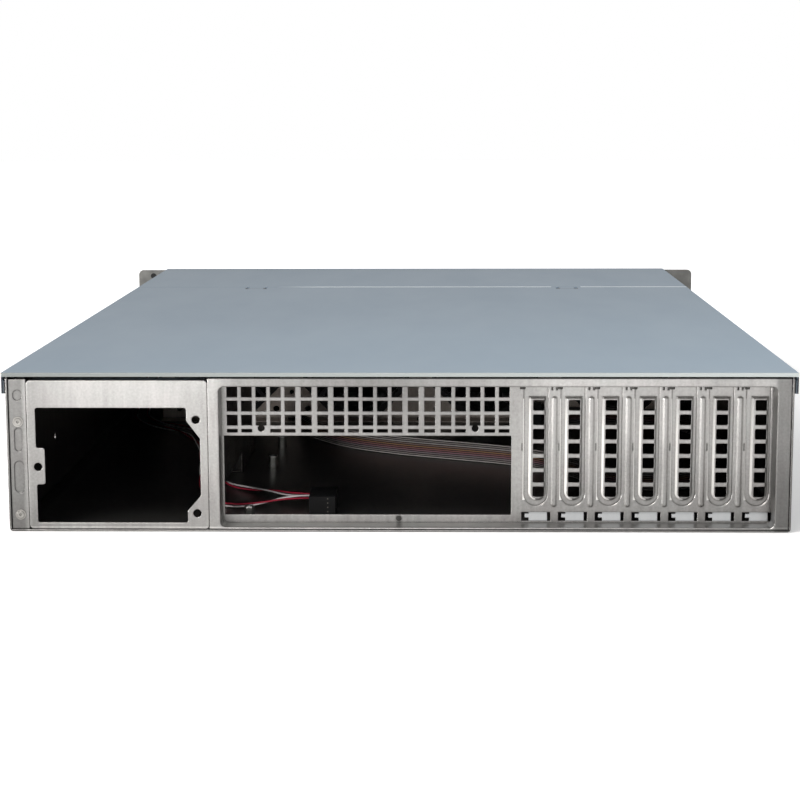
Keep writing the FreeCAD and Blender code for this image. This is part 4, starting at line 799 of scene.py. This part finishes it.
def light_path(tree):
    """How much of a ray comes from the camera, and how much from a mirror-like or clear surface."""
    path = tree.nodes.new("ShaderNodeLightPath")
    seen = Wire(tree, path.outputs["Is Camera Ray"])
    mirrored = Wire(tree, path.outputs["Is Glossy Ray"])
    through = Wire(tree, path.outputs["Is Transmission Ray"])
    return seen, (mirrored + through).clamped()


def stage():
    """White floor that keeps the object's shadow, with painted shade around the case and painted light
    towards the left in reflections, in a white surround.
    """
    bpy.ops.mesh.primitive_plane_add(size=12, location=(0, 0, cad_box[0][2] - GROUND_DROP))
    ground = bpy.context.object
    ground.name = "ground"
    f = Finish("ground_paper")
    x, y = f.axes()[:2]
    beside = (x.size() - GROUND_SHADE[0]).at_least(0.0)
    behind = (y.size() - GROUND_SHADE[1]).at_least(0.0)
    away = ((beside + behind) / GROUND_FADE).clamped()
    lit_side = (1.0 + 0.9 * x).at_least(0.6).at_most(1.3)
    seen, mirrored = light_path(f.tree)
    # The floor glows less near the case so that its shadow shows; in reflections it glows much less there, a
    # painted shadow, and more towards the left, a painted light.
    glow = seen * (0.30 + 0.70 * away) + mirrored * (0.05 + 0.95 * away) * lit_side
    f.surface(Base_Color=(0.80, 0.80, 0.80, 1), Roughness=0.9, Emission_Color=glow, Emission_Strength=1.0)
    ground.data.materials.append(f.material)
    world = bpy.data.worlds.new("surround")
    bpy.context.scene.world = world
    world.use_nodes = True
    tree = world.node_tree
    seen, mirrored = light_path(tree)
    level = AMBIENT + (1.0 - AMBIENT) * (seen + mirrored).clamped()
    back = tree.nodes["Background"]
    back.inputs["Color"].default_value = (1, 1, 1, 1)
    tree.links.new(level.socket, back.inputs["Strength"])


def soft_light(name, place, aim, size, power, colour, glossy=True, diffuse=True):
    """Rectangular lamp at place that shines towards aim."""
    data = bpy.data.lights.new(name, "AREA")
    data.shape = "RECTANGLE"
    data.size, data.size_y = size
    data.energy = power
    data.color = colour
    lamp = bpy.data.objects.new(name, data)
    lamp.location = place
    lamp.rotation_euler = (Vector(aim) - Vector(place)).to_track_quat("-Z", "Y").to_euler()
    lamp.visible_camera = False
    lamp.visible_glossy = glossy
    lamp.visible_diffuse = diffuse
    bpy.context.collection.objects.link(lamp)


def lights():
    case_rear = (0, REAR, 0.05)
    soft_light("overhead", (0, 0, 2.0), (0, 0, 0), (2.0, 2.0), 8, (0.94, 0.97, 1.0))
    soft_light("key", (0.75, 1.00, 1.10), case_rear, (0.6, 0.6), 22, (1.0, 0.97, 0.94))
    soft_light("side_key", (1.50, 0.55, 0.12), case_rear, (0.5, 0.35), 14, (1.0, 0.99, 0.98), diffuse=False)
    soft_light("left_fill", (0.80, 3.0, 0.50), case_rear, (0.5, 0.4), 30, (1.0, 0.99, 0.98), glossy=False)
    soft_light("right_fill", (-1.10, 2.9, 0.50), case_rear, (0.5, 0.4), 22, (1.0, 0.99, 0.98), glossy=False)


def camera():
    data = bpy.data.cameras.new("camera")
    data.lens = CAMERA_LENS
    data.sensor_width = 36.0
    data.clip_start = 0.01
    data.clip_end = 50.0
    made = bpy.data.objects.new("camera", data)
    turn = Matrix.Identity(4)
    for degrees, axis in ((CAMERA_TURN, "Z"), (CAMERA_TILT, "X"), (CAMERA_ROLL, "Y"), (90, "X")):
        turn = turn @ Matrix.Rotation(math.radians(degrees), 4, axis)
    made.matrix_world = Matrix.Translation(CAMERA_PLACE) @ turn
    bpy.context.collection.objects.link(made)
    bpy.context.scene.camera = made


dress_frame()
ribbon, ribbon_path = ribbon_lead()
power_lead, power_path = twisted_lead("power_lead_cores", "power_lead", POWER_LEAD_ROUTE,
                                      board_x=170.0, entry_depth=63.5, entry_z=7.6)
reset_lead, reset_path = twisted_lead("reset_lead_cores", "reset_lead", RESET_LEAD_ROUTE,
                                      board_x=188.0, entry_depth=57.5, entry_z=7.6)
length_of(ribbon_path)
for lead, path in ((power_lead, power_path), (reset_lead, reset_path)):
    length_of(path)
stage()
lights()
camera()

bpy.context.scene.view_settings.view_transform = "Standard"
